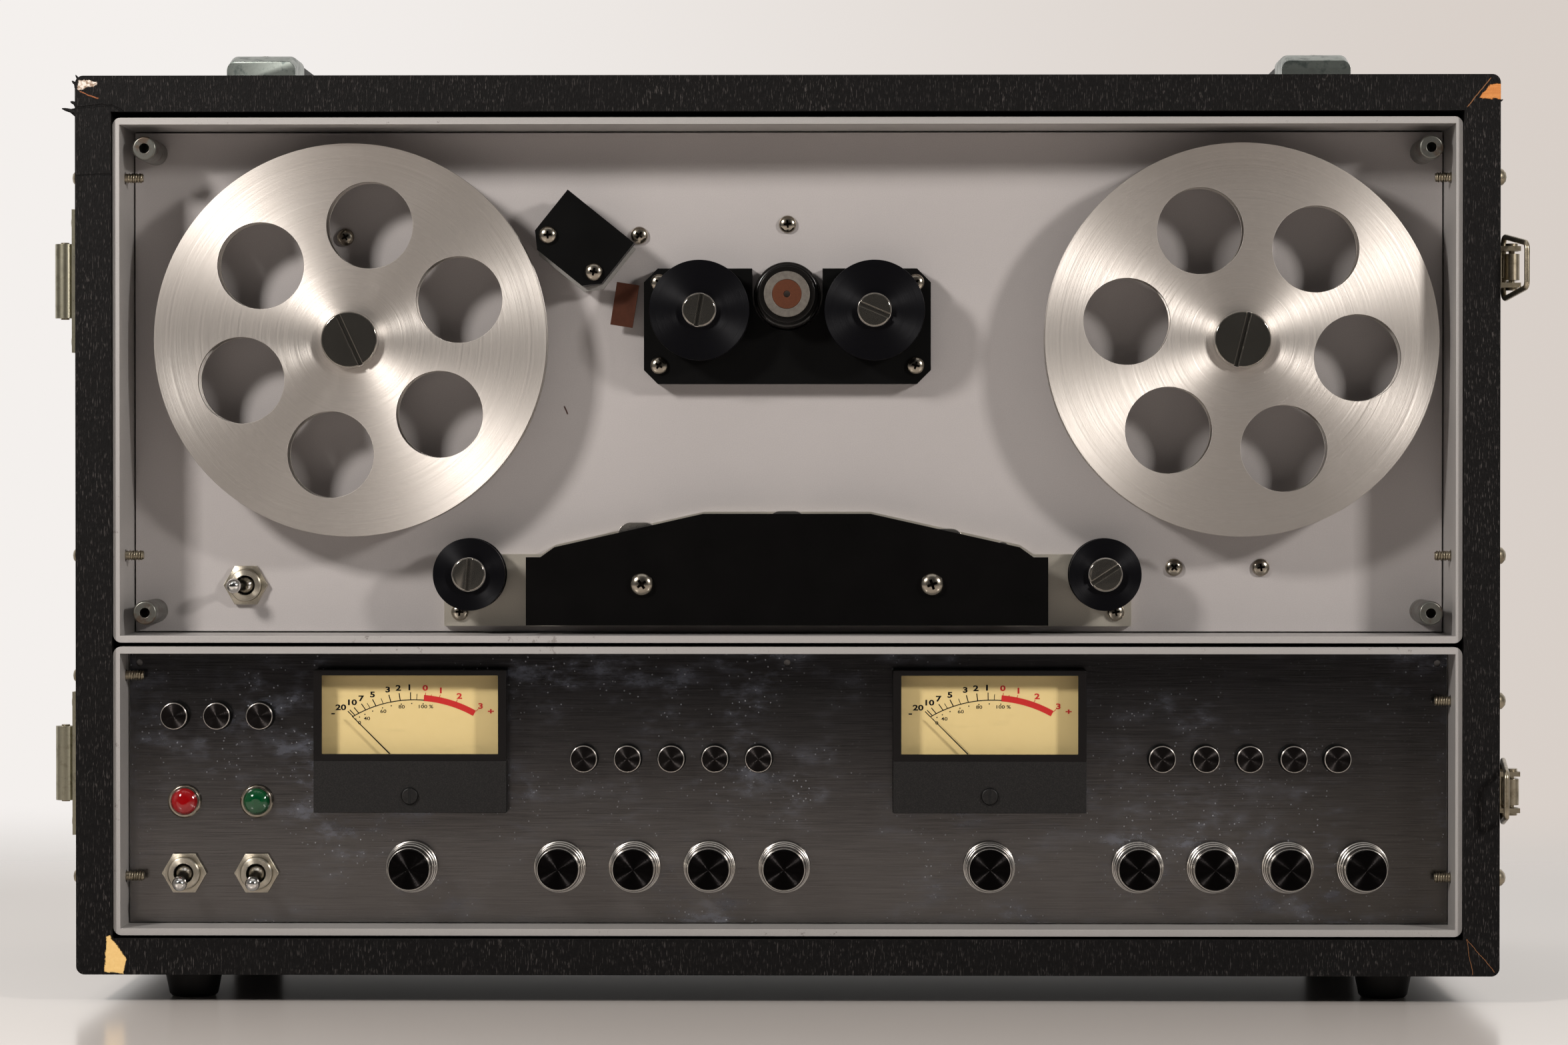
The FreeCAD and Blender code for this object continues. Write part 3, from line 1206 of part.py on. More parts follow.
def drive_motor():
    """Motor behind the deck, its boss through the deck and the capstan's bearing ring."""
    bore = "capstan_shaft/2 + running_gap"
    can = turned("motor_can", (bore, "0"), ("motor_boss/2", "0"), ("motor_boss/2", "-deck_thick"),
                 ("motor_size/2", "-deck_thick"), ("motor_size/2", "-(deck_thick + motor_length)"),
                 ("0", "-(deck_thick + motor_length)"),
                 ("0", "-(deck_thick + motor_length/2) - slide_gap"),
                 (bore, "-(deck_thick + motor_length/2) - slide_gap"))
    bearing = turned("capstan_bearing", (bore, "0"), ("capstan_ring/2", "0"),
                     ("capstan_ring/2", "capstan_ring_height - capstan_ring_edge"),
                     ("capstan_ring/2 - capstan_ring_edge", "capstan_ring_height"),
                     (bore, "capstan_ring_height"))
    place(node("drive_motor", can, bearing), *on_deck("0", "capstan_z"))


def roller_base_block():
    """Black block with cut corners and a round-bottomed notch for the capstan."""
    body = new_body("roller_base_block")
    half_w, half_h = "block_width/2", "block_height/2"
    outline = points((f"-{half_w} + block_chamfer", f"-{half_h}"),
                     (f"{half_w} - block_chamfer", f"-{half_h}"),
                     (half_w, f"-{half_h} + block_chamfer"), (half_w, f"{half_h} - block_chamfer"),
                     (f"{half_w} - block_chamfer", half_h), (f"-{half_w} + block_chamfer", half_h),
                     (f"-{half_w}", f"{half_h} - block_chamfer"),
                     (f"-{half_w}", f"-{half_h} + block_chamfer"))
    pad(body, sketch_on(body, "XZ_Plane", outline), "block_thick")
    centre = "capstan_z - block_z"
    drill(body, "XZ_Plane", "block_thick", "notch_size", "block_thick", [("0", centre)])
    mouth = sketch_on(body, "XZ_Plane", rectangle("notch_size", f"{half_h}", "0",
                                                  f"{centre} + {half_h}/2"), level="block_thick")
    pocket(body, mouth, "block_thick")
    studs = [(across, f"{up} - block_z") for across, up in flanged_spots()]
    drill(body, "XZ_Plane", "block_thick", "stud_thread + 2*bolt_clear", "block_thick", studs)
    screws = [(across, f"{up} - block_z") for across, up in block_screw_spots()]
    drill(body, "XZ_Plane", "block_thick", "screw_shank + 2*bolt_clear", "block_thick", screws)
    single(place(body, *on_deck("0", "block_z")))


def head_outline(half, low, end, knee_drop):
    """Outline of the head plates: flat ends, two slopes and a flat top."""
    top = f"head_plate_top - {knee_drop}"
    knee = f"head_plate_knee_z - {knee_drop}"
    right_side = [(half, low), (half, end), (f"heel_x - {knee_drop}", end),
                  (f"knee_x - {knee_drop}", knee), ("head_plate_flat", top)]
    left_side = [(f"-({across})", up) for across, up in reversed(right_side)]
    return points(*right_side, *left_side)


def head_base_plate():
    holes = [circle("stud_thread + 2*bolt_clear", *spot) for spot in guide_spots()]
    holes += [circle("screw_shank + 2*bolt_clear", *spot) for spot in plate_screw_spots()]
    body = plate("head_base_plate", "head_plate_thick",
                 head_outline("head_plate_half", "head_plate_low", "head_plate_end", "0"), *holes)
    single(place(body, *on_deck("0", "0")))


def cover_screw_spots():
    return [("-cover_screw_x", "cover_screw_z"), ("cover_screw_x", "cover_screw_z")]


def head_cover_plate():
    """Black cover plate in front of the heads, its lower edge folded back."""
    hole = "screw_shank*large_screw_scale + 2*bolt_clear"
    body = plate("head_cover_plate", "cover_thick",
                 head_outline("cover_half", "cover_low", "cover_end", "cover_drop"),
                 *[circle(hole, *spot) for spot in cover_screw_spots()],
                 level="cover_front - cover_thick")
    fold = sketch_on(body, "XZ_Plane", rectangle("2*cover_half", "cover_thick", "0",
                                                 "cover_low + cover_thick/2"),
                     level="cover_front - cover_return")
    pad(body, fold, "cover_return - cover_thick/2")
    single(place(body, *on_deck("0", "0")))


def tape_heads():
    """Three heads, a tape post and the two cover pillars on the base plate."""
    seat = "head_plate_thick"
    pieces = []
    for across, top in (("left_head_x", "left_head_top"), ("0", "middle_head_top"),
                        ("right_head_x", "right_head_top")):
        body = new_body("tape_head")
        case = rectangle("head_width", "head_length", across, f"{top} - head_length/2")
        shape = pad(body, sketch_on(body, "XZ_Plane", case, level=seat), "head_deep")
        face = value(top)
        round_edges(body, shape, "head_nose",
                    lambda edge, face=face: abs(edge.CenterOfMass.z - face) < 0.01
                    and edge.BoundBox.YLength > edge.BoundBox.XLength)
        pieces.append(body)
    pillar = turned("cover_pillar", ("screw_shank*large_screw_scale/2 + bolt_clear", seat),
                    ("pillar_size/2", seat), ("pillar_size/2", "cover_front - cover_thick"),
                    ("screw_shank*large_screw_scale/2 + bolt_clear", "cover_front - cover_thick"))
    pieces += [copy_of(pillar, spot[0], "0", spot[1]) for spot in cover_screw_spots()]
    post = turned("tape_post", ("0", seat), ("tape_post_size/2", seat),
                  ("tape_post_size/2", "cover_front - cover_thick - slide_gap"),
                  ("0", "cover_front - cover_thick - slide_gap"))
    pieces.append(copy_of(post, "tape_post_x", "0", "tape_post_z"))
    place(node("tape_heads", *pieces), *on_deck("0", "0"))


def angled_guide_block():
    """Angled black block on a grey under-piece and a round base, and the copper plate."""
    half_w, half_h, cut = "angled_width/2", "angled_height/2", "angled_chamfer"

    def outline(shift_x, shift_z):
        return points((f"-{half_w} + {cut} + {shift_x}", f"-{half_h} + {shift_z}"),
                      (f"{half_w} - {cut} + {shift_x}", f"-{half_h} + {shift_z}"),
                      (f"{half_w} + {shift_x}", f"-{half_h} + {cut} + {shift_z}"),
                      (f"{half_w} + {shift_x}", f"{half_h} + {shift_z}"),
                      (f"-{half_w} + {shift_x}", f"{half_h} + {shift_z}"),
                      (f"-{half_w} + {shift_x}", f"-{half_h} + {cut} + {shift_z}"))

    screws = [(f"{side}*angled_screw_x", "angled_screw_z") for side in (-1, 1)]
    holes = [circle("screw_shank + 2*bolt_clear", *spot) for spot in screws]
    base = plate("angled_base_disc", "angled_base_height", circle("angled_base"), *holes)
    under = plate("grey_under_piece", "angled_pad_height",
                  outline("angled_pad_shift", "-angled_pad_shift"), *holes,
                  level="angled_base_height")
    cover = plate("angled_block", "angled_cover_height", outline("0", "0"), *holes,
                  level="angled_base_height + angled_pad_height")
    turned_pieces = [copy_of(piece, *on_deck("angled_x*spread", "angled_z"), (0, 1, 0), "angled_turn")
                     for piece in (base, under, cover)]
    sheet_piece = plate("copper_plate", "copper_thick", rectangle("copper_width", "copper_height"),
                        level="copper_lift")
    post = turned("copper_post_rod", ("0", "0"), ("copper_post/2", "0"),
                  ("copper_post/2", "copper_lift"), ("0", "copper_lift"))
    copper = [copy_of(piece, *on_deck("copper_x*spread", "copper_z"), (0, 1, 0), "copper_turn")
              for piece in (sheet_piece, post)]
    node("angled_guide_block", *turned_pieces, *copper)


# --- posts, studs and screws ---------------------------------------------------------------

def slotted(body, head, top):
    """Cut a screwdriver slot across a turned head."""
    cut = sketch_on(body, "XZ_Plane", rectangle(f"{head} + cut_over", "slot_width"), level=top)
    pocket(body, cut, "slot_depth")
    return body


def shoulder_screw(label, shank, head, head_height, length, reach):
    """Slotted shoulder screw: thread below the seat, plain shank, wide head."""
    top = f"{length} + {head_height}"
    body = turned(label, ("0", f"-{reach}"), ("stud_thread/2", f"-{reach}"), ("stud_thread/2", "0"),
                  (f"{shank}/2", "0"), (f"{shank}/2", length), (f"{head}/2", length),
                  (f"{head}/2", f"{top} - stud_edge"), (f"{head}/2 - stud_edge", top),
                  ("0", top))
    return slotted(body, head, top)


def posts_and_spindles():
    """Corner posts, shoulder screws, their spacer collars and the spindle housings."""
    post = turned("corner_post", ("0", "slide_gap - deck_thick"),
                  ("post_spigot/2", "slide_gap - deck_thick"),
                  ("post_spigot/2", "0"), ("post_size/2", "0"),
                  ("post_size/2", "post_height - post_edge"),
                  ("post_size/2 - post_edge", "post_height"),
                  ("post_hole/2", "post_height"),
                  ("post_hole/2", "post_height - post_hole_depth"),
                  ("0", "post_height - post_hole_depth"))
    pieces = [copy_of(post, *on_deck(*spot)) for spot in post_spots()]

    reel_screw = shoulder_screw("reel_screw", "reel_stud", "reel_stud_head", "reel_stud_head_height",
                                "(reel_lift + reel_thick + slide_gap)", "(deck_thick + stud_reach)")
    collar = ring("reel_collar_ring", "reel_stud + 2*nest_gap", "reel_collar", "0",
                  "reel_lift - slide_gap")
    housing = ring("spindle_housing", "stud_thread + 2*nest_gap", "housing_size",
                   "-(deck_thick + housing_depth)", "-deck_thick")
    for (across, up), angle in zip(reel_spots(), ("115", "76")):
        pieces.append(copy_of(reel_screw, *on_deck(across, up), FRONT, angle))
        pieces += [copy_of(piece, *on_deck(across, up)) for piece in (collar, housing)]

    for label, spots, seat, reach, angles in (
            ("flanged", flanged_spots(), "block_thick", "block_thick - slide_gap", ("80", "157")),
            ("guide", guide_spots(), "head_plate_thick", "head_plate_thick + stud_reach",
             ("86", "33"))):
        length = f"(roller_lift + roller_height + slide_gap - {seat})"
        screw = shoulder_screw(f"{label}_screw", "roller_stud", "roller_stud_head",
                               "roller_stud_head_height", length, f"({reach})")
        spacer = ring(f"{label}_collar", "roller_stud + 2*nest_gap", "roller_collar", "0",
                      f"roller_lift - slide_gap - {seat}")
        for (across, up), angle in zip(spots, angles):
            pieces.append(copy_of(screw, *on_deck(across, up, seat), FRONT, angle))
            pieces.append(copy_of(spacer, *on_deck(across, up, seat)))
    node("posts_and_spindles", *pieces)


def pan_screw(label, scale, reach):
    """Cross-recess pan-head screw."""
    head, top = f"screw_head*{scale}/2", f"screw_head_height*{scale}"
    body = turned(label, ("0", f"-{reach}"), (f"screw_shank*{scale}/2", f"-{reach}"),
                  (f"screw_shank*{scale}/2", "0"), (head, "0"),
                  *dome(head, f"screw_rim*{scale}", top))
    arm, half = f"cross_arm*{scale}", f"cross_half*{scale}"
    cross = points((f"-{arm}", f"-{half}"), (f"-{half}", f"-{half}"), (f"-{half}", f"-{arm}"),
                   (half, f"-{arm}"), (half, f"-{half}"), (arm, f"-{half}"), (arm, half),
                   (half, half), (half, arm), (f"-{half}", arm), (f"-{half}", half),
                   (f"-{arm}", half))
    pocket(body, sketch_on(body, "XZ_Plane", cross, level=top), f"cross_depth*{scale}")
    return body


def machine_screws():
    """Every cross-recess screw, and the bolts that hold the trays in the case."""
    small = pan_screw("pan_screw", "1", "screw_reach")
    long = pan_screw("long_pan_screw", "1", "long_screw_reach")
    large = pan_screw("large_pan_screw", "large_screw_scale", "screw_reach")
    pieces = [copy_of(small, *on_deck(*spot)) for spot in deck_screw_spots()]
    pieces += [copy_of(long, *on_deck(*spot, "block_thick")) for spot in block_screw_spots()]
    pieces += [copy_of(small, *on_deck(*spot, "head_plate_thick")) for spot in plate_screw_spots()]
    pieces += [copy_of(large, *on_deck(*spot, "cover_front")) for spot in cover_screw_spots()]
    block_front = "angled_base_height + angled_pad_height + angled_cover_height"
    for side in (-1, 1):
        across = (f"angled_x*spread + {side}*angled_screw_x*cos(angled_turn*1deg)"
                  " + angled_screw_z*sin(angled_turn*1deg)")
        up = (f"angled_z - {side}*angled_screw_x*sin(angled_turn*1deg)"
              " + angled_screw_z*cos(angled_turn*1deg)")
        pieces.append(copy_of(long, *on_deck(f"({across})", f"({up})", block_front),
                              (0, 1, 0), "angled_turn"))
    pieces += [copy_of(long, *spot, axis=ACROSS, angle="90")
               for spot in foot_places("foot_height - foot_sole")]
    for side in (-1, 1):
        for along in (-1, 1):
            pieces.append(copy_of(long, f"centre_x + {side}*handle_x",
                                  f"centre_y + {along}*(case_depth/2 - handle_front"
                                  " - handle_cap_length/2)",
                                  "top_z + handle_cap_high - handle_seat", ACROSS, "-90"))
    for hinge in ("upper_hinge_z", "lower_hinge_z"):
        for sign in (-1, 1):
            pieces.append(copy_of(small, "left_side_x - hinge_leaf",
                                  "front_y + hinge_screw_back",
                                  f"middle_z + {hinge} + {sign}*hinge_screw", UPRIGHT, "-90"))
    pieces += case_bolts()
    node("machine_screws", *pieces)


def case_bolts():
    """Dome-headed bolts through the case sides into the trays."""
    reach = "(case_wall + tray_side_gap + tray_sheet + bolt_inside)"
    bolt = turned("case_bolt", ("0", f"-{reach}"), ("bolt_thread/2", f"-{reach}"),
                  ("bolt_thread/2", "0"), ("bolt_head/2", "0"),
                  *dome("bolt_head/2", "bolt_rim", "bolt_head_height"))
    washer = ring("cup_washer", "bolt_thread + 2*bolt_clear", "washer_size", "0", "washer_thick")
    along = "lip_y + bolt_drop"
    pieces = [copy_of(bolt, "left_side_x", along, f"middle_z + {height}", UPRIGHT, "-90")
              for height in case_bolt_heights("left")]
    for height in case_bolt_heights("right"):
        pieces.append(copy_of(washer, "right_side_x", along, f"middle_z + {height}", UPRIGHT, "90"))
        pieces.append(copy_of(bolt, "right_side_x + washer_thick", along, f"middle_z + {height}",
                              UPRIGHT, "90"))
    return pieces


# --- controls ------------------------------------------------------------------------------

def hexagon(size):
    """Hexagon across its flats, one flat upward."""
    corner = f"{size}/2/cos(30deg)"
    return points(*[(f"{corner}*cos({index}*60deg)", f"{corner}*sin({index}*60deg)")
                    for index in range(6)])


def toggle_bushing():
    """Threaded bushing, hexagon nut and switch body as separate solids."""
    rear = "-deck_thick - toggle_tail"
    bushing = turned("toggle_bushing", ("toggle_bore/2", rear), ("toggle_thread/2", rear),
                     ("toggle_thread/2", "toggle_thread_height - toggle_edge"),
                     ("toggle_thread/2 - toggle_edge", "toggle_thread_height"),
                     ("toggle_bore/2", "toggle_thread_height"))
    nut = plate("toggle_nut_ring", "toggle_nut_height", hexagon("toggle_nut"),
                circle("toggle_thread + 2*nest_gap"))
    body = box("toggle_body", "toggle_body_width", "toggle_body_depth", "toggle_body_width",
               "0", "deck_thick + toggle_tail", "0")
    return bushing, nut, body


def control_bushings():
    """Push-button rims and switch bodies, toggle bushings, nuts and bodies."""
    bore, tail = "button_stem/2 + slide_gap", "-panel_thick - button_tail"
    rim = turned("button_rim_ring", (bore, tail), ("button_bush/2", tail), ("button_bush/2", "0"),
                 ("button_rim/2", "0"), ("button_rim/2", "button_rim_height/2"),
                 ("button_rim/2 - button_rim_height/2", "button_rim_height"),
                 (bore, "button_rim_height"))
    floor = "-(panel_thick + button_inside + button_travel + slide_gap)"
    can = turned("button_switch", ("button_bush/2 + nest_gap", "-panel_thick"),
                 ("switch_body/2", "-panel_thick"),
                 ("switch_body/2", "-(panel_thick + switch_depth)"),
                 ("0", "-(panel_thick + switch_depth)"), ("0", floor),
                 ("button_bush/2 + nest_gap", floor))
    pieces = [copy_of(piece, *on_panel(*spot)) for spot in button_spots() for piece in (rim, can)]
    for piece in toggle_bushing():
        pieces += [copy_of(piece, *on_panel(*spot)) for spot in panel_toggle_spots()]
        pieces.append(copy_of(piece, *on_deck("deck_toggle_x*spread", "deck_toggle_z")))
    node("control_bushings", *pieces)


def push_buttons():
    for number, spot in enumerate(button_spots(), start=1):
        rear, shoulder = "-panel_thick - button_inside", "button_stand - button_cap_height"
        cap = turned(f"push_button_{number}", ("0", rear), ("button_stem/2", rear),
                     ("button_stem/2", shoulder), ("button_cap/2", shoulder),
                     ("button_cap/2", "button_stand - button_edge"),
                     ("button_cap/2 - button_edge", "button_stand"), ("0", "button_stand"))
        single(place(cap, *on_panel(*spot)))


def toggle_levers():
    """Bat levers on pivot balls, each at one end of its throw."""
    ball = "(toggle_bore/2 - slide_gap)"
    pivot = [(f"{ball}*cos({angle}deg)", f"{ball}*sin({angle}deg)")
             for angle in (-60, -30, 0, 30, 60)]
    levers = [("deck_toggle_lever", on_deck("deck_toggle_x*spread", "deck_toggle_z",
                                            "toggle_pivot"), UPRIGHT)]
    levers += [(f"{side}_toggle_lever", on_panel(*spot, "toggle_pivot"), ACROSS)
               for side, spot in zip(("left", "right"), panel_toggle_spots())]
    for label, spot, axis in levers:
        lever = turned(label, ("0", f"-{ball}"), *pivot,
                       ("toggle_neck/2", "toggle_lever - toggle_tip_length"),
                       *dome("toggle_tip/2", "toggle_lever - toggle_tip/2", "toggle_lever"))
        tilt = "-toggle_tilt" if axis == UPRIGHT else "toggle_tilt"
        single(place(lever, *spot, axis, tilt))


def panel_lamps():
    """Pilot lamps: chrome bezel and domed lens."""
    rear, seat = "-lamp_tube_depth", "lamp_seat + nest_gap"
    inner, mouth = "lamp_inner/2", "lamp_lens/2 + nest_gap"
    bezel = turned("lamp_bezel_ring", (inner, rear), ("lamp_tube/2", rear), ("lamp_tube/2", "0"),
                   ("lamp_bezel/2", "0"), ("lamp_bezel/2", "lamp_bezel_height - lamp_edge"),
                   ("lamp_bezel/2 - lamp_edge", "lamp_bezel_height"), (mouth, "lamp_bezel_height"),
                   (mouth, "lamp_seat"), (inner, "lamp_seat"))
    lens = turned("lamp_lens_dome", ("0", "-lamp_lens_depth"),
                  (f"{inner} - nest_gap", "-lamp_lens_depth"), (f"{inner} - nest_gap", seat),
                  ("lamp_lens/2", seat), *dome("lamp_lens/2", "lamp_shoulder", "lamp_height"))
    node("panel_lamps", *[copy_of(piece, *on_panel(*spot)) for spot in lamp_spots()
                          for piece in (bezel, lens)])


def knobs():
    """Bright skirt, black cap and shaft of each knob."""
    shank, mouth = "knob_shaft/2 + nest_gap", "knob_cap/2 + nest_gap"
    front = "knob_height - knob_cap_proud"
    seat = f"{front} - knob_cap_seat"
    skirt = turned("knob_skirt", (shank, "knob_stand"), ("knob_base/2", "knob_stand"),
                   ("knob_base/2", "knob_stand + knob_foot"), ("knob_neck/2", front),
                   (mouth, front), (mouth, seat), (shank, seat))
    cap = turned("knob_cap_disc", ("0", seat), ("knob_cap/2", seat),
                 ("knob_cap/2", "knob_height - knob_edge"),
                 ("knob_cap/2 - knob_edge", "knob_height"), ("0", "knob_height"))
    rear = "-(panel_thick + pot_depth - pot_floor - slide_gap)"
    shaft = turned("knob_shaft_rod", ("0", rear), ("knob_shaft/2", rear),
                   ("knob_shaft/2", f"{seat} - nest_gap"), ("0", f"{seat} - nest_gap"))
    for number, spot in enumerate(knob_spots(), start=1):
        place(node(f"knob_{number}", skirt, cap, shaft), *on_panel(*spot))


# --- meters --------------------------------------------------------------------------------

def meter_cases():
    """Each meter: housing with movement barrel, dial plate, front, window, pin, zero screw."""
    tub = new_body("meter_housing")
    pad(tub, sketch_on(tub, "XZ_Plane", rectangle("meter_width", "meter_height")), "meter_tub")
    hollow = sketch_on(tub, "XZ_Plane", rectangle("meter_width - 2*meter_wall",
                                                  "meter_height - 2*meter_wall"), level="meter_tub")
    pocket(tub, hollow, "meter_tub - meter_wall")
    barrel = sketch_on(tub, "XZ_Plane", circle("meter_barrel"), level="-meter_barrel_depth")
    pad(tub, barrel, "meter_barrel_depth")
    dial = plate("meter_dial", "dial_thick",
                 rectangle("meter_width - 2*meter_wall - 2*slide_gap",
                           "meter_height - 2*meter_wall - 2*slide_gap"), level="meter_wall")
    front = plate("meter_front_plate", "meter_front", rectangle("meter_width", "meter_height"),
                  rectangle("window_width", "window_height", "0", "window_z"), level="meter_tub")
    glass = plate("meter_window", "window_glass",
                  rectangle("window_width - 2*nest_gap", "window_height - 2*nest_gap", "0",
                            "window_z"), level="meter_tub + window_inset")
    floor = "meter_wall + dial_thick"
    pin_top = "needle_lift + needle_thick + needle_pin_proud"
    pin = turned("meter_pin", ("0", floor), ("needle_pin/2", floor), ("needle_pin/2", pin_top),
                 ("0", pin_top))
    face = "meter_tub + meter_front"
    zero = turned("zero_screw_disc", ("0", face), ("zero_screw/2", face),
                  ("zero_screw/2", f"{face} + zero_height - zero_edge"),
                  ("zero_screw/2 - zero_edge", f"{face} + zero_height"),
                  ("0", f"{face} + zero_height"))
    pieces = []
    for across, up in meter_spots():
        pieces += [copy_of(piece, *on_panel(across, up)) for piece in (tub, dial, front, glass)]
        pieces.append(copy_of(pin, *on_panel(across, f"{up} + needle_z")))
        pieces.append(copy_of(zero, *on_panel(across, f"{up} + zero_screw_z")))
    node("meter_cases", *pieces)


def meter_needles():
    """Pointer on a drilled hub, at rest at the left end of the scale."""
    for name, (across, up) in zip(("left", "right"), meter_spots()):
        body = new_body(f"{name}_meter_needle")
        pointer = points(("-needle_root/2", "needle_hub/4"), ("needle_root/2", "needle_hub/4"),
                         ("needle_tip/2", "needle_length"), ("-needle_tip/2", "needle_length"))
        pad(body, sketch_on(body, "XZ_Plane", circle("needle_hub")), "needle_thick")
        pad(body, sketch_on(body, "XZ_Plane", pointer), "needle_thick")
        drill(body, "XZ_Plane", "needle_thick", "needle_pin + 2*running_gap", "needle_thick",
              [("0", "0")])
        single(place(body, *on_panel(across, f"{up} + needle_z", "needle_lift"), FRONT,
                     "needle_rest"))


# --- electronics ---------------------------------------------------------------------------

def electronics_board():
    """Circuit board on posts, transformer, capacitors and the ten potentiometers."""
    wall = "lip_y + panel_tray_depth - tray_sheet"
    board_front = f"{wall} - board_stand - board_thick"
    pieces = [box("circuit_board", "board_width", "board_thick", "board_height", "centre_x",
                  board_front, "panel_z")]
    for across in (-1, 1):
        for up in (-1, 1):
            pieces.append(box("board_post_block", "board_post", "board_stand", "board_post",
                              f"centre_x + {across}*(board_width/2 - board_post_inset)",
                              f"{wall} - board_stand",
                              f"panel_z + {up}*(board_height/2 - board_post_inset)"))
    core_x = "centre_x + transformer_x"
    pieces.append(box("transformer_core", "transformer_width", "transformer_deep",
                      "transformer_height", core_x, f"{board_front} - transformer_deep", "panel_z"))
    pieces.append(box("transformer_coil", "coil_width", "coil_deep", "coil_height",
                      core_x, f"{board_front} - transformer_deep - coil_deep", "panel_z"))
    can = turned("capacitor", ("0", "0"), ("capacitor_size/2", "0"),
                 ("capacitor_size/2", "capacitor_height"), ("0", "capacitor_height"))
    pieces += [copy_of(can, f"centre_x + capacitor_x + {index}*capacitor_pitch", board_front,
                       "panel_z") for index in range(5)]
    pot = turned("potentiometer", ("knob_shaft/2 + running_gap", "-panel_thick"),
                 ("pot_size/2", "-panel_thick"), ("pot_size/2", "-(panel_thick + pot_depth)"),
                 ("0", "-(panel_thick + pot_depth)"), ("0", "pot_floor - panel_thick - pot_depth"),
                 ("knob_shaft/2 + running_gap", "pot_floor - panel_thick - pot_depth"))
    pieces += [copy_of(pot, *on_panel(*spot)) for spot in knob_spots()]
    node("electronics_board", *pieces)


# --- whole object --------------------------------------------------------------------------

def build():
    fill_sheet()
    case_shell()
    rear_panel()
    rubber_feet()
    carry_handles()
    case_hardware()
    latches()
    trays()
    deck_plate()
    control_panel()
    reels()
    rollers()
    capstan_roller()
    drive_motor()
    roller_base_block()
    head_base_plate()
    head_cover_plate()
    tape_heads()
    angled_guide_block()
    posts_and_spindles()
    machine_screws()
    control_bushings()
    push_buttons()
    toggle_levers()
    panel_lamps()
    knobs()
    meter_cases()
    meter_needles()
    electronics_board()
    doc.recompute()


def check_and_write():
    """Stop on any failed feature or bad shape, then write one file for each node."""
    for thing in doc.Objects:
        if {"Invalid", "Error"} & set(thing.State):
            raise RuntimeError(f"{thing.Label} failed: {thing.State}")
    for piece in NODES:
        if piece.Shape.isNull() or not piece.Shape.isValid():
            raise RuntimeError(f"{piece.Label} has no valid shape")
    os.makedirs("parts", exist_ok=True)
    for piece in NODES:
        piece.Shape.exportStep(f"parts/{piece.Label}.step")
        print(f"{piece.Label}: {len(piece.Shape.Solids)} solids, {piece.Shape.Volume:.0f} mm3")
    print(len(NODES), "nodes")


build()
check_and_write()
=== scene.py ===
# %% [markdown]
# # A tape delay unit in its carry case
# A plywood case covered in black leathercloth holds two formed trays. The upper one carries two
# reels, rollers and tape heads on a silver deck. The lower one carries a dark polished panel with
# two needle meters, thirteen push-buttons, ten knobs, two lamps and two toggles.
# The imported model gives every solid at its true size. This lesson gives each one its finish,
# softens its edges and adds the small work that solids leave out.

# %% Load the frame
import json
import math
import random

import bmesh
import bpy
from mathutils import Matrix, Vector

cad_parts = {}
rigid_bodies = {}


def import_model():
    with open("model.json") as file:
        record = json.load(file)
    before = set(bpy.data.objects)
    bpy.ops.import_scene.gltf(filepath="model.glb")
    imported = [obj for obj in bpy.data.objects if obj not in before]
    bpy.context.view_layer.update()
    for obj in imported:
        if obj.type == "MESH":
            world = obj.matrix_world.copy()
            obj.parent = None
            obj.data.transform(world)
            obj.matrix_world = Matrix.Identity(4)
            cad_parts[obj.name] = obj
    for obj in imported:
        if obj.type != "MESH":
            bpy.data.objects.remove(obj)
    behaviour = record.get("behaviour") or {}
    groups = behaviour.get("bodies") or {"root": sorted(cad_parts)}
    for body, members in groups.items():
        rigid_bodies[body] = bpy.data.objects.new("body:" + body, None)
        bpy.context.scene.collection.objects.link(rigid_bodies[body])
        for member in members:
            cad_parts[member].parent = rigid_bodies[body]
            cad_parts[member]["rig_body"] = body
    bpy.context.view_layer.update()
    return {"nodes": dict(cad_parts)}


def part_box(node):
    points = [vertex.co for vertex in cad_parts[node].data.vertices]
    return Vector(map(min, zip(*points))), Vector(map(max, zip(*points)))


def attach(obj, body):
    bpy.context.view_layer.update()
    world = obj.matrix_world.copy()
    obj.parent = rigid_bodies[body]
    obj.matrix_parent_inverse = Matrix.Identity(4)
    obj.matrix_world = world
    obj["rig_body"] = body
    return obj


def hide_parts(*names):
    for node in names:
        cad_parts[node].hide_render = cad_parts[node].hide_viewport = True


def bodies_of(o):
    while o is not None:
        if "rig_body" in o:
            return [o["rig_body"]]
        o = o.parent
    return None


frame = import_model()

MM = 0.001

# %% [markdown]
# ## Where things are
# All places come from the frame, so a change in the model moves the dressing with it. `middle`
# gives the middle of a node, and `linked` puts every new object of the lesson into the scene.

# %% Places read from the model


def middle(node):
    low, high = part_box(node)
    return (low + high) / 2


def linked(name, data):
    """A new object that stands in the scene."""
    made = bpy.data.objects.new(name, data)
    bpy.context.scene.collection.objects.link(made)
    return made


case_low, case_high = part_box("case_shell")
panel_low, panel_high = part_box("control_panel")
deck_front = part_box("deck_plate")[0].y
panel_front = panel_low.y
print("case:", [round(v / MM, 1) for v in case_high - case_low], "mm")
print("deck front:", round(deck_front / MM, 2), "panel front:", round(panel_front / MM, 2))

# %% [markdown]
# ## The camera
# A long lens stands about 1.6 metres in front of the case and a little to the right of the middle,
# so the case looks almost flat and its sides hardly show. The camera comes early because the
# cropping of the picture decides which details matter.

# %% Camera
CAMERA_PLACE = (0.02073, -1.74185, 0.18772)
TURN_LEFT, LOOK_DOWN = 0.783, 0.571

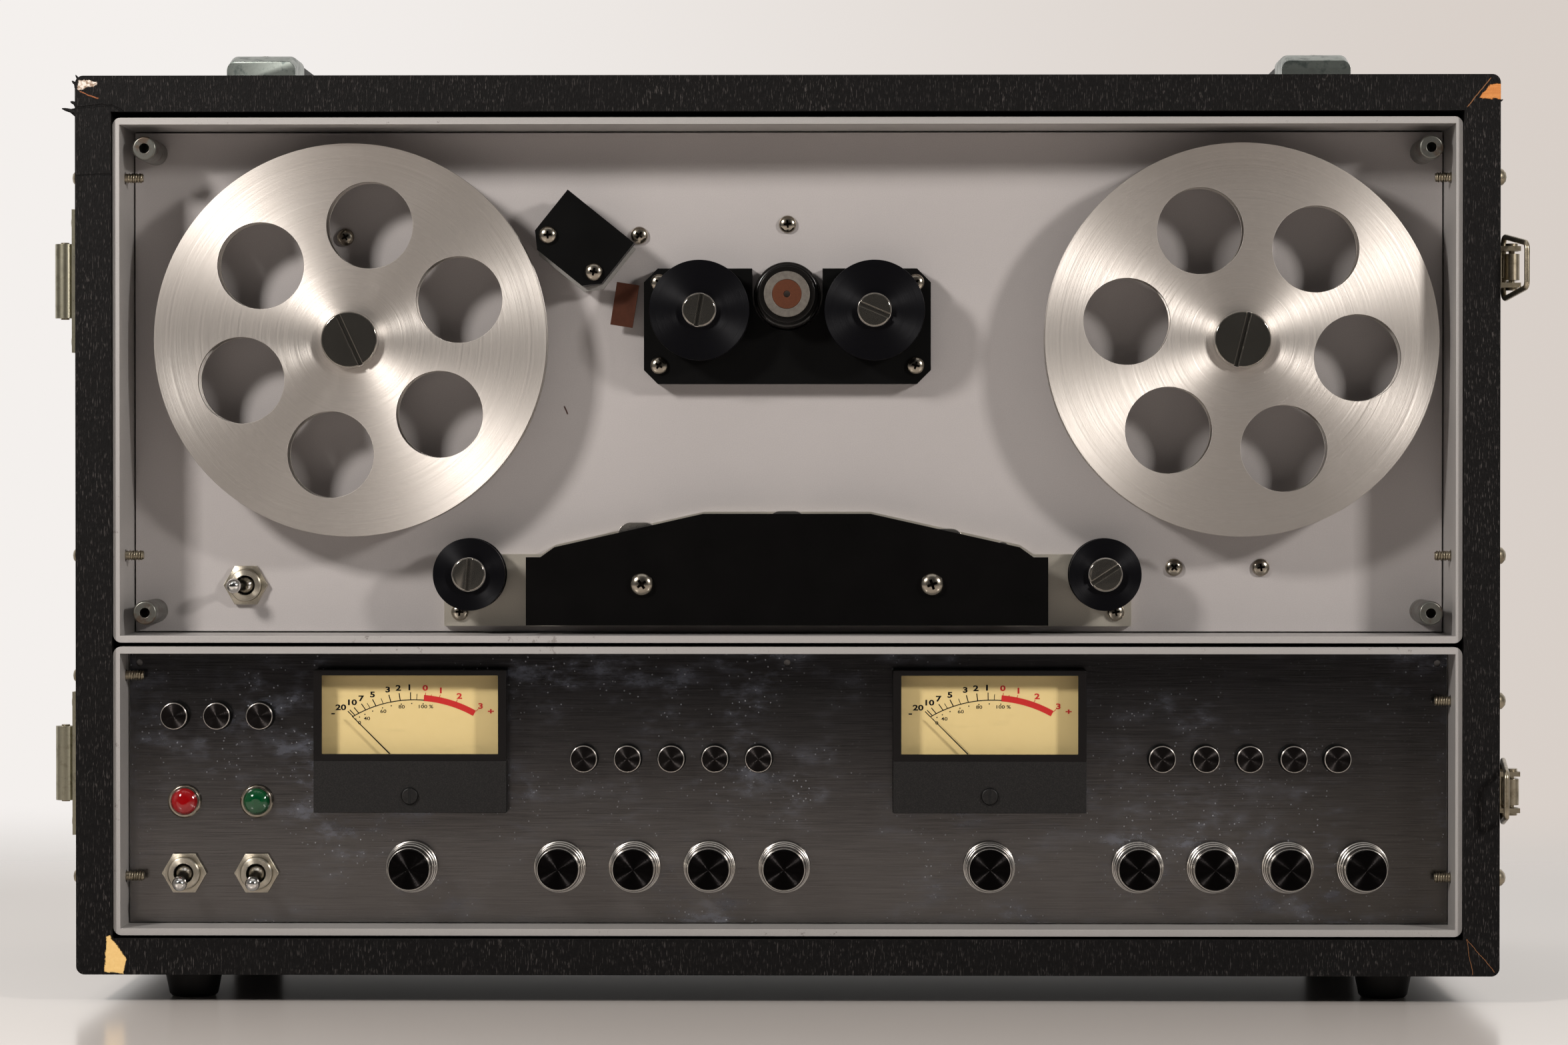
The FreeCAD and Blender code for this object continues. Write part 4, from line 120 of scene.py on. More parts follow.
camera_data = bpy.data.cameras.new("camera")
camera_data.lens = 105.22
camera_data.clip_end = 20.0
camera = linked("camera", camera_data)
camera.matrix_world = (Matrix.Translation(CAMERA_PLACE)
                       @ Matrix.Rotation(math.radians(TURN_LEFT), 4, "Z")
                       @ Matrix.Rotation(math.radians(90.0 - LOOK_DOWN), 4, "X"))
bpy.context.scene.camera = camera
print("camera:", [round(v, 3) for v in camera.location], "lens", camera_data.lens)

# %% [markdown]
# ## Shader maths as plain arithmetic
# A finish is a network of nodes, and networks are hard to read when every sum is three lines of
# links. `Wire` stands for one output, and adding or multiplying wires adds the Math nodes.
# `Finish` owns one material and has a single method that adds any other node.

# %% Wires and finishes


def linear(red, green, blue):
    """A colour as a screen shows it, 0 to 255, in Blender's linear units."""
    parts = [shade / 255 for shade in (red, green, blue)]
    return tuple(((part + 0.055) / 1.055) ** 2.4 if part > 0.04 else part / 12.92
                 for part in parts) + (1.0,)


class Wire:
    """One output of a node. Arithmetic on it adds Math nodes."""

    def __init__(self, finish, socket):
        self.finish, self.socket = finish, socket

    def also(self, label):
        """Another output of the same node."""
        return Wire(self.finish, self.socket.node.outputs[label])

    def __add__(self, other):
        return self.finish.maths("ADD", self, other)

    __radd__ = __add__

    def __sub__(self, other):
        return self.finish.maths("SUBTRACT", self, other)

    def __rsub__(self, other):
        return self.finish.maths("SUBTRACT", other, self)

    def __mul__(self, other):
        return self.finish.maths("MULTIPLY", self, other)

    __rmul__ = __mul__

    def __truediv__(self, other):
        return self.finish.maths("DIVIDE", self, other)

    def __abs__(self):
        return self.finish.maths("ABSOLUTE", self)

    def root(self):
        return self.finish.maths("SQRT", self)

    def most(self, other):
        return self.finish.maths("MAXIMUM", self, other)

    def step(self, low, high):
        """0 below low, 1 above high and a smooth rise between."""
        settings = {"interpolation_type": "SMOOTHSTEP"}
        return self.finish.node("MapRange", settings,
                                {"Value": self, "From Min": low, "From Max": high})


class Finish:
    """A material whose surface shader is set by name."""

    def __init__(self, name, **constants):
        self.material = bpy.data.materials.new(name)
        self.material.use_nodes = True
        self.tree = self.material.node_tree
        self.shader = self.tree.nodes["Principled BSDF"]
        self.place = self.node("TexCoord", out="Object")
        self.surface(**constants)

    def node(self, kind, settings=None, inputs=None, out=0):
        """Adds a node: its settings first, then a value or a wire for each socket."""
        made = self.tree.nodes.new("ShaderNode" + kind)
        for word, value in (settings or {}).items():
            setattr(made, word, value)
        for label, value in (inputs or {}).items():
            self.plug(made.inputs[label], value)
        return Wire(self, made.outputs[out])

    def plug(self, socket, value):
        if isinstance(value, Wire):
            self.tree.links.new(value.socket, socket)
        else:
            socket.default_value = value

    def maths(self, operation, *terms):
        return self.node("Math", {"operation": operation}, dict(enumerate(terms)))

    def vector(self, operation, *terms):
        return self.node("VectorMath", {"operation": operation}, dict(enumerate(terms)))

    def surface(self, **values):
        """Sets shader sockets: base_color for Base Color, and so on."""
        for word, value in values.items():
            label = word.replace("_", " ").title().replace("Ior", "IOR")
            self.plug(self.shader.inputs[label], value)

    def blended(self, surfaces):
        """Equal shares of several surfaces, each given as for surface()."""
        total = None
        for count, values in enumerate(surfaces):
            if count:
                self.shader = self.tree.nodes.new("ShaderNodeBsdfPrincipled")
            self.surface(**values)
            layer = Wire(self, self.shader.outputs[0])
            total = layer if total is None else self.node(
                "MixShader", inputs={0: 1.0 / (count + 1), 1: total, 2: layer})
        self.plug(self.tree.nodes["Material Output"].inputs["Surface"], total)

    def axes(self):
        split = self.node("SeparateXYZ", inputs={0: self.place})
        return split, split.also("Y"), split.also("Z")

    def noise(self, scale=1.0, stretch=(1.0, 1.0, 1.0), detail=3.0, rough=0.5, shift=0.0):
        """Cloudy values from 0 to 1; stretch is how many cells fit in a metre along each axis."""
        spot = self.node("Mapping", inputs={"Vector": self.place, "Scale": stretch,
                                            "Location": (shift, shift * 1.7, shift * 0.6)})
        return self.node("TexNoise", inputs={"Vector": spot, "Scale": scale, "Detail": detail,
                                             "Roughness": rough})

    def cells(self, density, shift=0.0):
        """Distance to the nearest of many scattered points, in cells."""
        spot = self.node("Mapping", inputs={"Vector": self.place,
                                            "Location": (shift, shift, shift)})
        return self.node("TexVoronoi", inputs={"Vector": spot, "Scale": density}, out="Distance")

    def mix(self, mask, first, second):
        """A colour that goes from first to second as the mask goes from 0 to 1."""
        return self.node("Mix", {"data_type": "RGBA"}, {0: mask, 6: first, 7: second}, out=2)

    def bump(self, height, depth, strength=1.0):
        """A normal from a height of 0 to 1 that stands for a depth in millimetres."""
        return self.node("Bump", inputs={"Height": height, "Distance": depth * MM,
                                         "Strength": strength})

    def tilt(self, slope, direction):
        """A normal leaned by slope along a direction given in the piece's own axes."""
        normal = self.node("NewGeometry", out="Normal")
        settings = {"vector_type": "VECTOR", "convert_from": "OBJECT", "convert_to": "WORLD"}
        along = self.node("VectorTransform", settings, {0: direction})
        lean = self.node("VectorMath", {"operation": "SCALE"}, {0: along, "Scale": slope})
        return self.vector("NORMALIZE", self.vector("ADD", normal, lean))

    def turned(self):
        """Distance from a turned piece's own axis in millimetres, and the way out from it."""
        split = self.node("SeparateXYZ",
                          inputs={0: self.node("UVMap", {"uv_map": "turned"})})
        across, up = split, split.also("Y")
        radius = (across * across + up * up).root()
        direction = self.node("CombineXYZ", inputs={0: across / radius, 2: up / radius})
        return radius, direction

    def rings(self, radius, pitch, shift=0.0):
        """Soft bands that change with the radius alone."""
        return self.node("TexNoise", {"noise_dimensions": "1D"},
                         {"W": radius / pitch + shift, "Scale": 1.0, "Detail": 0.0})

    def lots(self, along, pitch):
        """One value from 0 to 1 for each step of a pitch, each as likely as any other."""
        step = self.maths("FLOOR", along / pitch)
        return self.node("TexWhiteNoise", {"noise_dimensions": "1D"}, {"W": step}, out="Value")


print("maths ready")

# %% [markdown]
# ## Leathercloth
# The case is wrapped in black grained cloth-backed vinyl. Its grain is a fine stretched noise that
# runs up and down, with pale specks where the top coat has rubbed through. At three corners the
# cloth has torn away, so the same material shows bare wood there: one material follows the tear
# exactly, where two pieces would leave a gap.

# %% Patches and strokes on a front


def torn(finish, corners, depth=3.0, ragged=0.9, shift=0.0):
    """1 inside a ragged patch on the case's front. Corners are (x, z) in millimetres, set
    anticlockwise, and the patch goes back round the edge by depth."""
    across, along, up = finish.axes()
    reach = (along - case_low.y) / MM - depth
    for (x, z), (after_x, after_z) in zip(corners, corners[1:] + corners[:1]):
        length = math.hypot(after_x - x, after_z - z)
        away_x, away_z = (after_z - z) / length, (x - after_x) / length
        reach = reach.most((across / MM - x) * away_x + (up / MM - z) * away_z)
    edge = (finish.noise(scale=520.0, detail=5.0, rough=0.65, shift=shift) - 0.5) * ragged * 3.0
    return 1.0 - (reach + edge).step(-0.2, 0.15)


def stroke(finish, start, end, width, wobble=0.8, shift=0.0):
    """1 along a thin wavering line from start to end, both (x, z) in millimetres."""
    across, _, up = finish.axes()
    length = math.hypot(end[0] - start[0], end[1] - start[1])
    way_x, way_z = (end[0] - start[0]) / length, (end[1] - start[1]) / length
    from_x, from_z = across / MM - start[0], up / MM - start[1]
    passed = from_x * way_x + from_z * way_z
    waver = (finish.noise(scale=260.0, detail=3.0, shift=shift) - 0.5) * wobble
    beside = abs(from_z * way_x - from_x * way_z + waver)
    within = passed.step(-0.3, 0.3) * (1.0 - passed.step(length - 0.6, length + 0.1))
    return (1.0 - beside.step(width * 0.4, width)) * within


print("patches ready")

# %% Leathercloth finish


def from_corner(corner, *spots):
    """(right, up) millimetres from a case corner, as places on the front."""
    left = corner.endswith("left")
    x = (case_low.x if left else case_high.x) / MM
    z = (case_high.z if corner.startswith("top") else case_low.z) / MM
    return [(x + right, z + up) for right, up in spots]


def leathercloth():
    finish = Finish("leathercloth", specular_ior_level=0.13)
    threads = finish.noise(stretch=(2500.0, 2500.0, 300.0), detail=2.0, rough=0.6)
    pebble = finish.noise(stretch=(900.0, 900.0, 650.0), detail=3.0, shift=3.0)
    patchy = finish.noise(scale=34.0, detail=3.0, shift=5.0).step(0.4, 0.68)
    specks = (threads * 0.75 + pebble * 0.25).step(0.55, 0.66) * (patchy * 0.4 + 0.5)
    black = finish.mix(pebble, linear(4, 4, 4), linear(15, 13, 13))
    colour = finish.mix(specks * 0.55, black, linear(90, 85, 83))
    colour, seam = seams(finish, colour)
    colour, bare = bare_patches(finish, colour)
    height = threads * 0.5 + pebble * 0.5 - bare * 1.6 - seam * 1.2
    finish.surface(base_color=colour, roughness=0.46 + pebble * 0.24 + bare * 0.2,
                   normal=finish.bump(height, 0.24))
    return finish


def seams(finish, colour):
    """Where strips of cloth lap over each other: dark gaps, and tan lines where they split."""
    inner = 24.6
    top_left = from_corner("top-left", (0.0, -11.6), (13.0, -10.4), (23.0, -16.0))
    top_right = from_corner("top-right", (-11.8, -11.6), (-3.4, -1.2))
    low_right = from_corner("bottom-right", (-inner / 2 + 0.6, inner / 2 + 1.0), (-1.6, 1.4),
                            (-9.5, 0.4))
    bolt = [(case_low.x / MM, bolt_level), (case_low.x / MM + 13.4, bolt_level + 0.3)]
    dark = stroke(finish, top_left[0], top_left[1], 0.5, 3.0).most(
        stroke(finish, top_left[1], top_left[2], 0.4, 2.0, 2.0)).most(
        stroke(finish, bolt[0], bolt[1], 0.28, 0.8, 3.0))
    tan = stroke(finish, top_right[0], top_right[1], 0.26, 0.8, 4.0).most(
        stroke(finish, low_right[0], low_right[1], 0.16, 1.2, 5.0)).most(
        stroke(finish, low_right[0], low_right[2], 0.14, 1.4, 6.0))
    edge = 1.0 - ((finish.axes()[1] - case_low.y) / MM).step(1.0, 2.0)
    colour = finish.mix(dark * edge * 0.85, colour, linear(5, 4, 4))
    return finish.mix(tan * edge * 0.75, colour, linear(150, 104, 70)), (dark + tan) * edge


def bare_patches(finish, colour):
    """Filler, wood and board that show where the cloth has gone."""
    grain = finish.noise(stretch=(90.0, 500.0, 1300.0), detail=4.0, shift=9.0)
    pale = finish.noise(scale=900.0, detail=4.0, shift=13.0)
    filler = torn(finish, from_corner("top-left", (0.7, -5.9), (3.4, -4.9), (7.6, -4.2),
                                      (8.0, -2.2), (4.4, -1.5), (1.6, -1.7)), 2.0)
    chip = stroke(finish, *from_corner("top-left", (1.8, -5.6), (8.6, -8.2)), 0.3, 1.6, 7.0)
    wood = torn(finish, from_corner("top-right", (-8.0, -8.6), (0.5, -8.9), (0.5, -3.4),
                                    (-3.6, -3.4)), 4.0, 0.7, 4.0)
    board = torn(finish, from_corner("bottom-left", (10.0, 0.8), (16.8, 0.6), (18.0, 5.4),
                                     (15.0, 10.4), (12.0, 13.8), (10.8, 13.6)), 2.0, 0.6, 8.0)
    colour = finish.mix(filler, colour, finish.mix(pale.step(0.35, 0.6), linear(150, 128, 110),
                                                   linear(226, 216, 206)))
    colour = finish.mix(chip, colour, linear(140, 84, 54))
    colour = finish.mix(wood, colour, finish.mix(grain, linear(168, 88, 36), linear(222, 156, 92)))
    colour = finish.mix(board, colour, finish.mix(pale, linear(224, 182, 112),
                                                  linear(240, 204, 138)))
    return colour, filler.most(wood).most(board)


bolt_level = (case_high.z - 35.4 * MM) / MM
vinyl = leathercloth()
print("leathercloth:", len(vinyl.tree.nodes), "nodes")

# %% [markdown]
# ## Silver paint
# Deck and trays wear a fine metallic paint: grey with sparkle too small to see one by one. The
# sparkle comes from a very fine noise on the roughness and a shallow bump. The trays' lips have
# been knocked by the lid for years, so they carry small chips down to bare metal.

# %% Silver paint finishes


def silver_paint(name, light, dark, chips=0.0, metallic=0.35, roughness=0.42, scuff=None):
    finish = Finish(name, metallic=metallic)
    fine = finish.noise(scale=2600.0, detail=2.0)
    soft = finish.noise(scale=16.0, detail=3.0, shift=2.0)
    base = finish.mix(fine * 0.55 + soft * 0.45, linear(*light), linear(*dark))
    if chips:
        flaw = finish.noise(scale=330.0, detail=5.0, rough=0.7, shift=7.0)
        sparse = finish.noise(scale=40.0, detail=1.0, shift=11.0)
        _, along, _ = finish.axes()
        edge = 1.0 - (along - tray_lip).step(0.2 * MM, 1.4 * MM)
        chip = (flaw * 0.7 + sparse * 0.3).step(0.62, 0.66) * edge * chips
        base = finish.mix(chip, base, linear(92, 84, 76))
    if scuff:
        base = finish.mix(stroke(finish, *scuff, 0.4, 0.5), base, linear(70, 44, 36))
    finish.surface(base_color=base, roughness=roughness - 0.06 + fine * 0.14 + soft * 0.06,
                   normal=finish.bump(fine, 0.03, 0.5))
    return finish


tray_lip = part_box("transport_tray")[0].y
deck_paint = silver_paint("deck_paint", (196, 191, 190), (168, 163, 162),
                          scuff=((-81.8, 213.4), (-80.4, 210.2)))
tray_paint = silver_paint("tray_paint", (184, 181, 179), (158, 155, 153), chips=0.5)
plate_paint = silver_paint("plate_paint", (206, 200, 188), (180, 174, 162),
                           metallic=0.72, roughness=0.34)
print("paints ready")

# %% [markdown]
# ## Polished and brushed metal
# A turned face scatters light in fans because its grooves are circles. The grooves are far finer
# than a pixel, so instead of drawing them the finish leans the normal in or out along the radius.
# Four shaders share the work, two for each side of a groove, and a random amount that changes with
# the radius alone fills the gaps between them. The control panel is brushed in straight lines, so
# there the lean is up or down.

# %% Metal finishes


def spun(name, light, dark, lean, roughness, metallic=1.0, marks=0.0, streaks=0.2, gloss=0.5,
         rim=None, rim_rough=0.0):
    """A metal turned on a lathe, read from the piece's own turned map. Lean is the steepest
    slope of a groove's side, streaks is how much the tone changes from ring to ring, and rim
    gives the part drawn lighter and rougher by rim_rough: bare metal on a button's bevel, a
    painted highlight on a polished head's bevel."""
    finish = Finish(name, metallic=metallic)
    radius, direction = finish.turned()
    groove = finish.lots(radius, 0.02) * 2.0 - 1.0
    band = finish.rings(radius, 0.8, 40.0)
    cloud = finish.noise(scale=60.0, detail=4.0, shift=6.0)
    rough = roughness * (0.9 + band * streaks * 0.4 + cloud * 0.1)
    base = finish.mix(band * streaks + cloud * 0.6, linear(*light), linear(*dark))
    # The rim's lighter colour is bare metal on a button's bevel and a painted highlight on a
    # polished head's bevel.
    if rim:
        bare = rim(finish, radius)
        base = finish.mix(bare, base, linear(214, 208, 202))
        rough = rough + bare * rim_rough
    if marks:
        arcs = finish.rings(radius, 0.28, 9.0).step(0.66, 0.78) * cloud.step(0.52, 0.7)
        base = finish.mix(arcs * marks, base, linear(250, 248, 244))
        rough = rough + arcs * marks * 0.4
    finish.blended([dict(base_color=base, roughness=rough, metallic=metallic,
                         specular_ior_level=gloss,
                         normal=finish.tilt((groove + side) * (lean * 0.25), direction))
                    for side in (-3.0, -1.0, 1.0, 3.0)])
    return finish


def plated(name, light, dark, roughness, stain=None, amount=0.0, drawn=(1.0, 1.0, 1.0)):
    """Nickel or zinc plate with faint marks and, if asked, a stain. Drawn is the stretch of the
    marks, for metal that was pulled or rolled one way."""
    finish = Finish(name, metallic=1.0)
    fine = finish.noise(scale=900.0, stretch=drawn, detail=3.0)
    cloud = finish.noise(scale=190.0, detail=4.0, rough=0.65, shift=3.0)
    base = finish.mix(fine * 0.4 + cloud * 0.6, linear(*light), linear(*dark))
    if stain:
        base = finish.mix(cloud.step(0.5, 0.66) * amount, base, linear(*stain))
    finish.surface(base_color=base, roughness=roughness * (0.7 + cloud * 0.6 + fine * 0.2),
                   normal=finish.bump(fine, 0.02, 0.3))
    return finish


def mirror_head(name, bevel):
    """Dark polished steel of a slotted head, with a painted highlight: a lighter colour on the
    bevel beyond a radius.
    """
    return spun(name, (166, 161, 152), (108, 104, 97), 0.03, 0.11, 0.94,
                rim=lambda finish, radius: radius.step(bevel, bevel + 0.08), rim_rough=0.2)


spun_aluminium = spun("spun_aluminium", (187, 182, 177), (171, 165, 159), 0.62, 0.33,
                      marks=0.05, streaks=0.5)
bright_skirt = spun("bright_skirt", (236, 232, 226), (208, 204, 198), 0.34, 0.24)
black_spun = spun("black_spun", (14, 12, 12), (9, 8, 8), 0.6, 0.17, 0.9, gloss=0.25)
roller_black = spun("roller_black", (7, 7, 11), (4, 4, 7), 0.5, 0.34, 0.3, gloss=0.12)
roller_head = mirror_head("roller_head", 5.85)
reel_head = mirror_head("reel_head", 9.92)
turned_nickel = spun("turned_nickel", (212, 205, 190), (176, 169, 154), 0.4, 0.24, streaks=0.5)
nickel = plated("nickel", (184, 176, 162), (132, 124, 112), 0.18)
chrome = plated("chrome", (238, 236, 232), (214, 212, 208), 0.1)
zinc = plated("zinc", (168, 174, 168), (108, 116, 112), 0.3, (72, 82, 80), 0.7)
post_zinc = plated("post_zinc", (142, 142, 136), (92, 93, 88), 0.32, (92, 66, 46), 0.6)
aged_nickel = plated("aged_nickel", (186, 176, 156), (138, 128, 108), 0.3, (92, 84, 66), 0.5)
drawn_nickel = plated("drawn_nickel", (190, 186, 166), (150, 146, 126), 0.28,
                      (112, 108, 90), 0.4, drawn=(2.0, 2.0, 0.04))
steel = plated("steel", (190, 186, 180), (150, 146, 140), 0.26)
# Painted shade: near-black metal for the cross recesses of screw heads, standing in for the shade
# that falls in them.
painted_recess_shade = plated("painted_recess_shade", (40, 35, 30), (18, 15, 12), 0.5)
print("metals ready")

# %% The dark panel


def mirror_panel():
    """Dark polished panel, brushed from left to right, with dust and wiped smears. Its colour is
    painted darker towards the top and the right end, a painted reflection of the dim room.
    """
    finish = Finish("dark_panel")
    across, _, up = finish.axes()
    lines = finish.noise(stretch=(60.0, 60.0, 9000.0), detail=2.0, rough=0.6)
    streak = finish.noise(stretch=(34.0, 34.0, 3600.0), detail=3.0, rough=0.7, shift=4.0)
    haze = finish.noise(scale=22.0, detail=4.0, rough=0.6, shift=8.0).step(0.42, 0.68)
    wipe = finish.noise(stretch=(50.0, 50.0, 120.0), detail=5.0, rough=0.7, shift=1.0)
    smear = haze * wipe.step(0.44, 0.72)
    dust = (1.0 - finish.cells(460.0).step(0.09, 0.15)) * (haze * 0.85 + 0.15)
    # Painted shade: the colour darkens towards the panel's top edge and its right end, standing in
    # for the dim room that the polished panel reflects there.
    painted_top_shade = (up / MM).step(panel_high.z / MM - 84.0, panel_high.z / MM - 4.0)
    painted_right_shade = (across / MM).step(panel_high.x / MM - 110.0, panel_high.x / MM - 10.0)
    low = finish.mix(streak, linear(106, 103, 102), linear(122, 119, 117))
    low = finish.mix(painted_right_shade, low, linear(88, 85, 82))
    high = finish.mix(streak, linear(54, 53, 54), linear(66, 65, 66))
    hazed = finish.mix(smear * 0.5, finish.mix(painted_top_shade, low, high), linear(140, 148, 168))
    finish.surface(base_color=finish.mix(dust * 0.6, hazed, linear(190, 194, 202)),
                   metallic=0.94 - smear * 0.32 - dust * 0.4,
                   roughness=0.2 + streak * 0.02 + smear * 0.18 + dust * 0.2,
                   normal=finish.tilt((lines - 0.5) * 0.12, (0.0, 0.0, 1.0)))
    return finish


dark_panel = mirror_panel()
print("dark panel:", len(dark_panel.tree.nodes), "nodes")

# %% [markdown]
# ## Black, rubber, bronze, copper, glass and lamp colours
# The small finishes share one recipe: two close shades mixed by a fine noise, a roughness that
# wanders a little and a shallow bump at the scale of the real texture.

# %% Small finishes


def mottled(name, light, dark, roughness, scale=900.0, depth=0.02, wander=0.12, **constants):
    finish = Finish(name, **constants)
    fine = finish.noise(scale=scale, detail=3.0)
    cloud = finish.noise(scale=scale / 18.0, detail=3.0, shift=5.0)
    colour = finish.mix(fine * 0.5 + cloud * 0.5, linear(*light), linear(*dark))
    finish.surface(base_color=colour,
                   roughness=roughness - wander / 2 + cloud * wander,
                   normal=finish.bump(fine, depth, 0.6))
    return finish


black_anodised = mottled("black_anodised", (6, 6, 6), (10, 10, 10), 0.36, specular_ior_level=0.12)
cover_paint = mottled("cover_paint", (5, 5, 5), (9, 8, 8), 0.3, scale=1400.0,
                      specular_ior_level=0.1)
rubber = mottled("rubber", (14, 13, 12), (24, 22, 21), 0.66, depth=0.05, specular_ior_level=0.3)
tyre = mottled("tyre", (12, 11, 10), (20, 18, 17), 0.22, specular_ior_level=0.45)
soft_black = mottled("soft_black", (22, 21, 21), (32, 31, 30), 0.56, scale=2200.0,
                     depth=0.05, specular_ior_level=0.3)
gloss_black = mottled("gloss_black", (8, 8, 8), (14, 14, 14), 0.2, specular_ior_level=0.35)
rough_hub = mottled("rough_hub", (152, 146, 138), (54, 49, 45), 0.5,
                    scale=900.0, depth=0.16, metallic=0.8)
bronze = mottled("bronze", (112, 66, 44), (70, 38, 26), 0.5, scale=1800.0, depth=0.05, metallic=0.7)
copper = mottled("copper", (104, 62, 46), (72, 42, 32), 0.42, scale=500.0, metallic=0.7)
pad_grey = mottled("pad_grey", (150, 148, 144), (120, 118, 115), 0.4)
dial_card = mottled("dial_card", (240, 216, 154), (232, 206, 142), 0.6, scale=700.0, depth=0.01)
scale_black = mottled("scale_black", (8, 7, 6), (14, 12, 11), 0.7, specular_ior_level=0.15)
scale_red = mottled("scale_red", (214, 34, 28), (196, 26, 24), 0.55)
board_green = mottled("board_green", (52, 84, 52), (40, 66, 42), 0.5)
core_brown = mottled("core_brown", (96, 74, 50), (70, 54, 38), 0.5)
enamel = mottled("enamel", (58, 60, 62), (44, 46, 48), 0.42, scale=1500.0, depth=0.06)
red_lens = mottled("red_lens", (160, 7, 12), (104, 2, 6), 0.03, scale=300.0,
                   depth=0.005, wander=0.02, coat_weight=0.6)
green_lens = mottled("green_lens", (3, 80, 40), (1, 46, 22), 0.03, scale=300.0,
                     depth=0.005, wander=0.02, coat_weight=0.6)


def meter_shell():
    """Moulded housing: gloss round the window, a fine sparkle grain below it."""
    finish = Finish("meter_shell", specular_ior_level=0.35)
    _, _, up = finish.axes()
    gloss = (up / MM).step(meter_line - 0.2, meter_line + 0.2)
    grain = finish.noise(scale=2600.0, detail=2.0)
    base = finish.mix(grain.step(0.4, 0.7), linear(8, 7, 7), linear(28, 26, 25))
    finish.surface(base_color=finish.mix(gloss, base, linear(14, 12, 12)),
                   roughness=0.5 - gloss * 0.25,
                   normal=finish.bump(grain * (1.0 - gloss), 0.06))
    return finish


meter_line = middle("meter_cases").z / MM - 7.0
shell_black = meter_shell()


def slotted():
    """Zero-adjuster of a meter: a disc in the shell's own black, its slot and rim line near black
    in painted shade.
    """
    finish = Finish("slotted_black", specular_ior_level=0.35)
    radius, _ = finish.turned()
    across = finish.node("SeparateXYZ", inputs={0: finish.node("UVMap", {"uv_map": "turned"})})
    slot = (1.0 - abs(across).step(0.3, 0.42)) * (1.0 - radius.step(2.7, 2.8))
    rim_shade_line = radius.step(2.78, 2.9)
    grain = finish.noise(scale=2600.0, detail=2.0)
    base = finish.mix(grain.step(0.4, 0.7), linear(9, 8, 8), linear(29, 27, 26))
    # Painted shade: the slot and the rim line are coloured near black for the shade that falls in
    # them.
    finish.surface(base_color=finish.mix(slot.most(rim_shade_line), base, linear(2, 2, 2)),
                   roughness=0.46 + slot * 0.3, normal=finish.bump(1.0 - slot.most(rim_shade_line), 0.5))
    return finish


adjuster_black = slotted()


def window_glass():
    """Clear meter window: mostly see-through, with faint wipe marks in its gloss."""
    finish = Finish("window_glass", base_color=(0.02, 0.02, 0.02, 1.0), ior=1.5)
    wipe = finish.noise(stretch=(60.0, 60.0, 240.0), detail=3.0)
    finish.surface(roughness=0.03 + wipe * 0.05, alpha=0.04 + wipe.step(0.55, 0.8) * 0.03)
    return finish


glass = window_glass()
print("finishes:", len(bpy.data.materials))

# %% [markdown]
# ## Dressing a solid
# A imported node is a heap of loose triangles. `dressed` copies it, welds its corners, joins flat
# triangles into whole faces, picks a finish for each separate solid and rounds its edges a touch,
# because it is the thin bright line along an edge that makes metal look like metal. Each solid
# also gets a map of its own that counts millimetres from its axis, which turned finishes read.

# %% Welding and sorting solids


class Solid:
    """One separate solid of a node, with its middle and size in millimetres."""

    def __init__(self, faces):
        self.faces = faces
        spots = [vert.co for face in faces for vert in face.verts]
        low = Vector([min(spot[axis] for spot in spots) for axis in range(3)])
        high = Vector([max(spot[axis] for spot in spots) for axis in range(3)])
        self.middle = (low + high) / 2 / MM
        self.size = (high - low) / MM
        self.low, self.high = low / MM, high / MM

    def corners(self):
        """Each vertex of the solid once."""
        return {vert for face in self.faces for vert in face.verts}


def solids_in(shape):
    """Faces gathered solid by solid, walking across edges that exactly two faces share."""
    shape.faces.ensure_lookup_table()
    seen, found = set(), []
    for start in shape.faces:
        if start.index in seen:
            continue
        seen.add(start.index)
        waiting, faces = [start], []
        while waiting:
            face = waiting.pop()
            faces.append(face)
            for edge in face.edges:
                if len(edge.link_faces) != 2:
                    continue
                for beside in edge.link_faces:
                    if beside.index not in seen:
                        seen.add(beside.index)
                        waiting.append(beside)
        found.append(Solid(faces))
    return found


def welded(node):
    """A node's own shape with the corners of its triangles joined."""
    shape = bmesh.new()
    shape.from_mesh(frame["nodes"][node].data)
    bmesh.ops.remove_doubles(shape, verts=shape.verts, dist=2e-6)
    return flattened(shape)


def flattened(shape):
    """Joins the triangles of each flat face into one."""
    bmesh.ops.dissolve_limit(shape, angle_limit=math.radians(0.4), verts=shape.verts,
                             edges=shape.edges)
    shape.faces.index_update()
    return shape


def body_of(node):
    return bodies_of(frame["nodes"][node])[0]


def placed(name, mesh, node, extra=False):
    """Puts a finished mesh in the scene, riding where its node rides. Unless it is an extra,
    it stands for the node."""
    mesh.name = name
    piece = linked(name, mesh)
    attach(piece, body_of(node))
    if not extra:
        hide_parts(node)
    return piece


# %% Dressing


def near(size, wanted, slack=0.3):
    """Whether a measure is the wanted one, in millimetres. It tells solids of a node apart."""
    return abs(size - wanted) < slack


def map_turned(solid, layer):
    """Millimetres from the solid's own middle, across and up."""
    for face in solid.faces:
        for loop in face.loops:
            spot = loop.vert.co / MM - solid.middle
            loop[layer].uv = (spot.x, spot.z)


SHARP = math.radians(32.0)


def softened(mesh, width):
    """Rounds the sharp edges of a mesh and returns the result as a plain mesh."""
    mesh.set_sharp_from_angle(angle=SHARP)
    holder = linked("holder", mesh)
    bevel = holder.modifiers.new("edges", "BEVEL")
    bevel.width = width * MM
    bevel.segments = 2
    bevel.limit_method = "ANGLE"
    bevel.angle_limit = SHARP
    bevel.harden_normals = True
    return settled(holder)


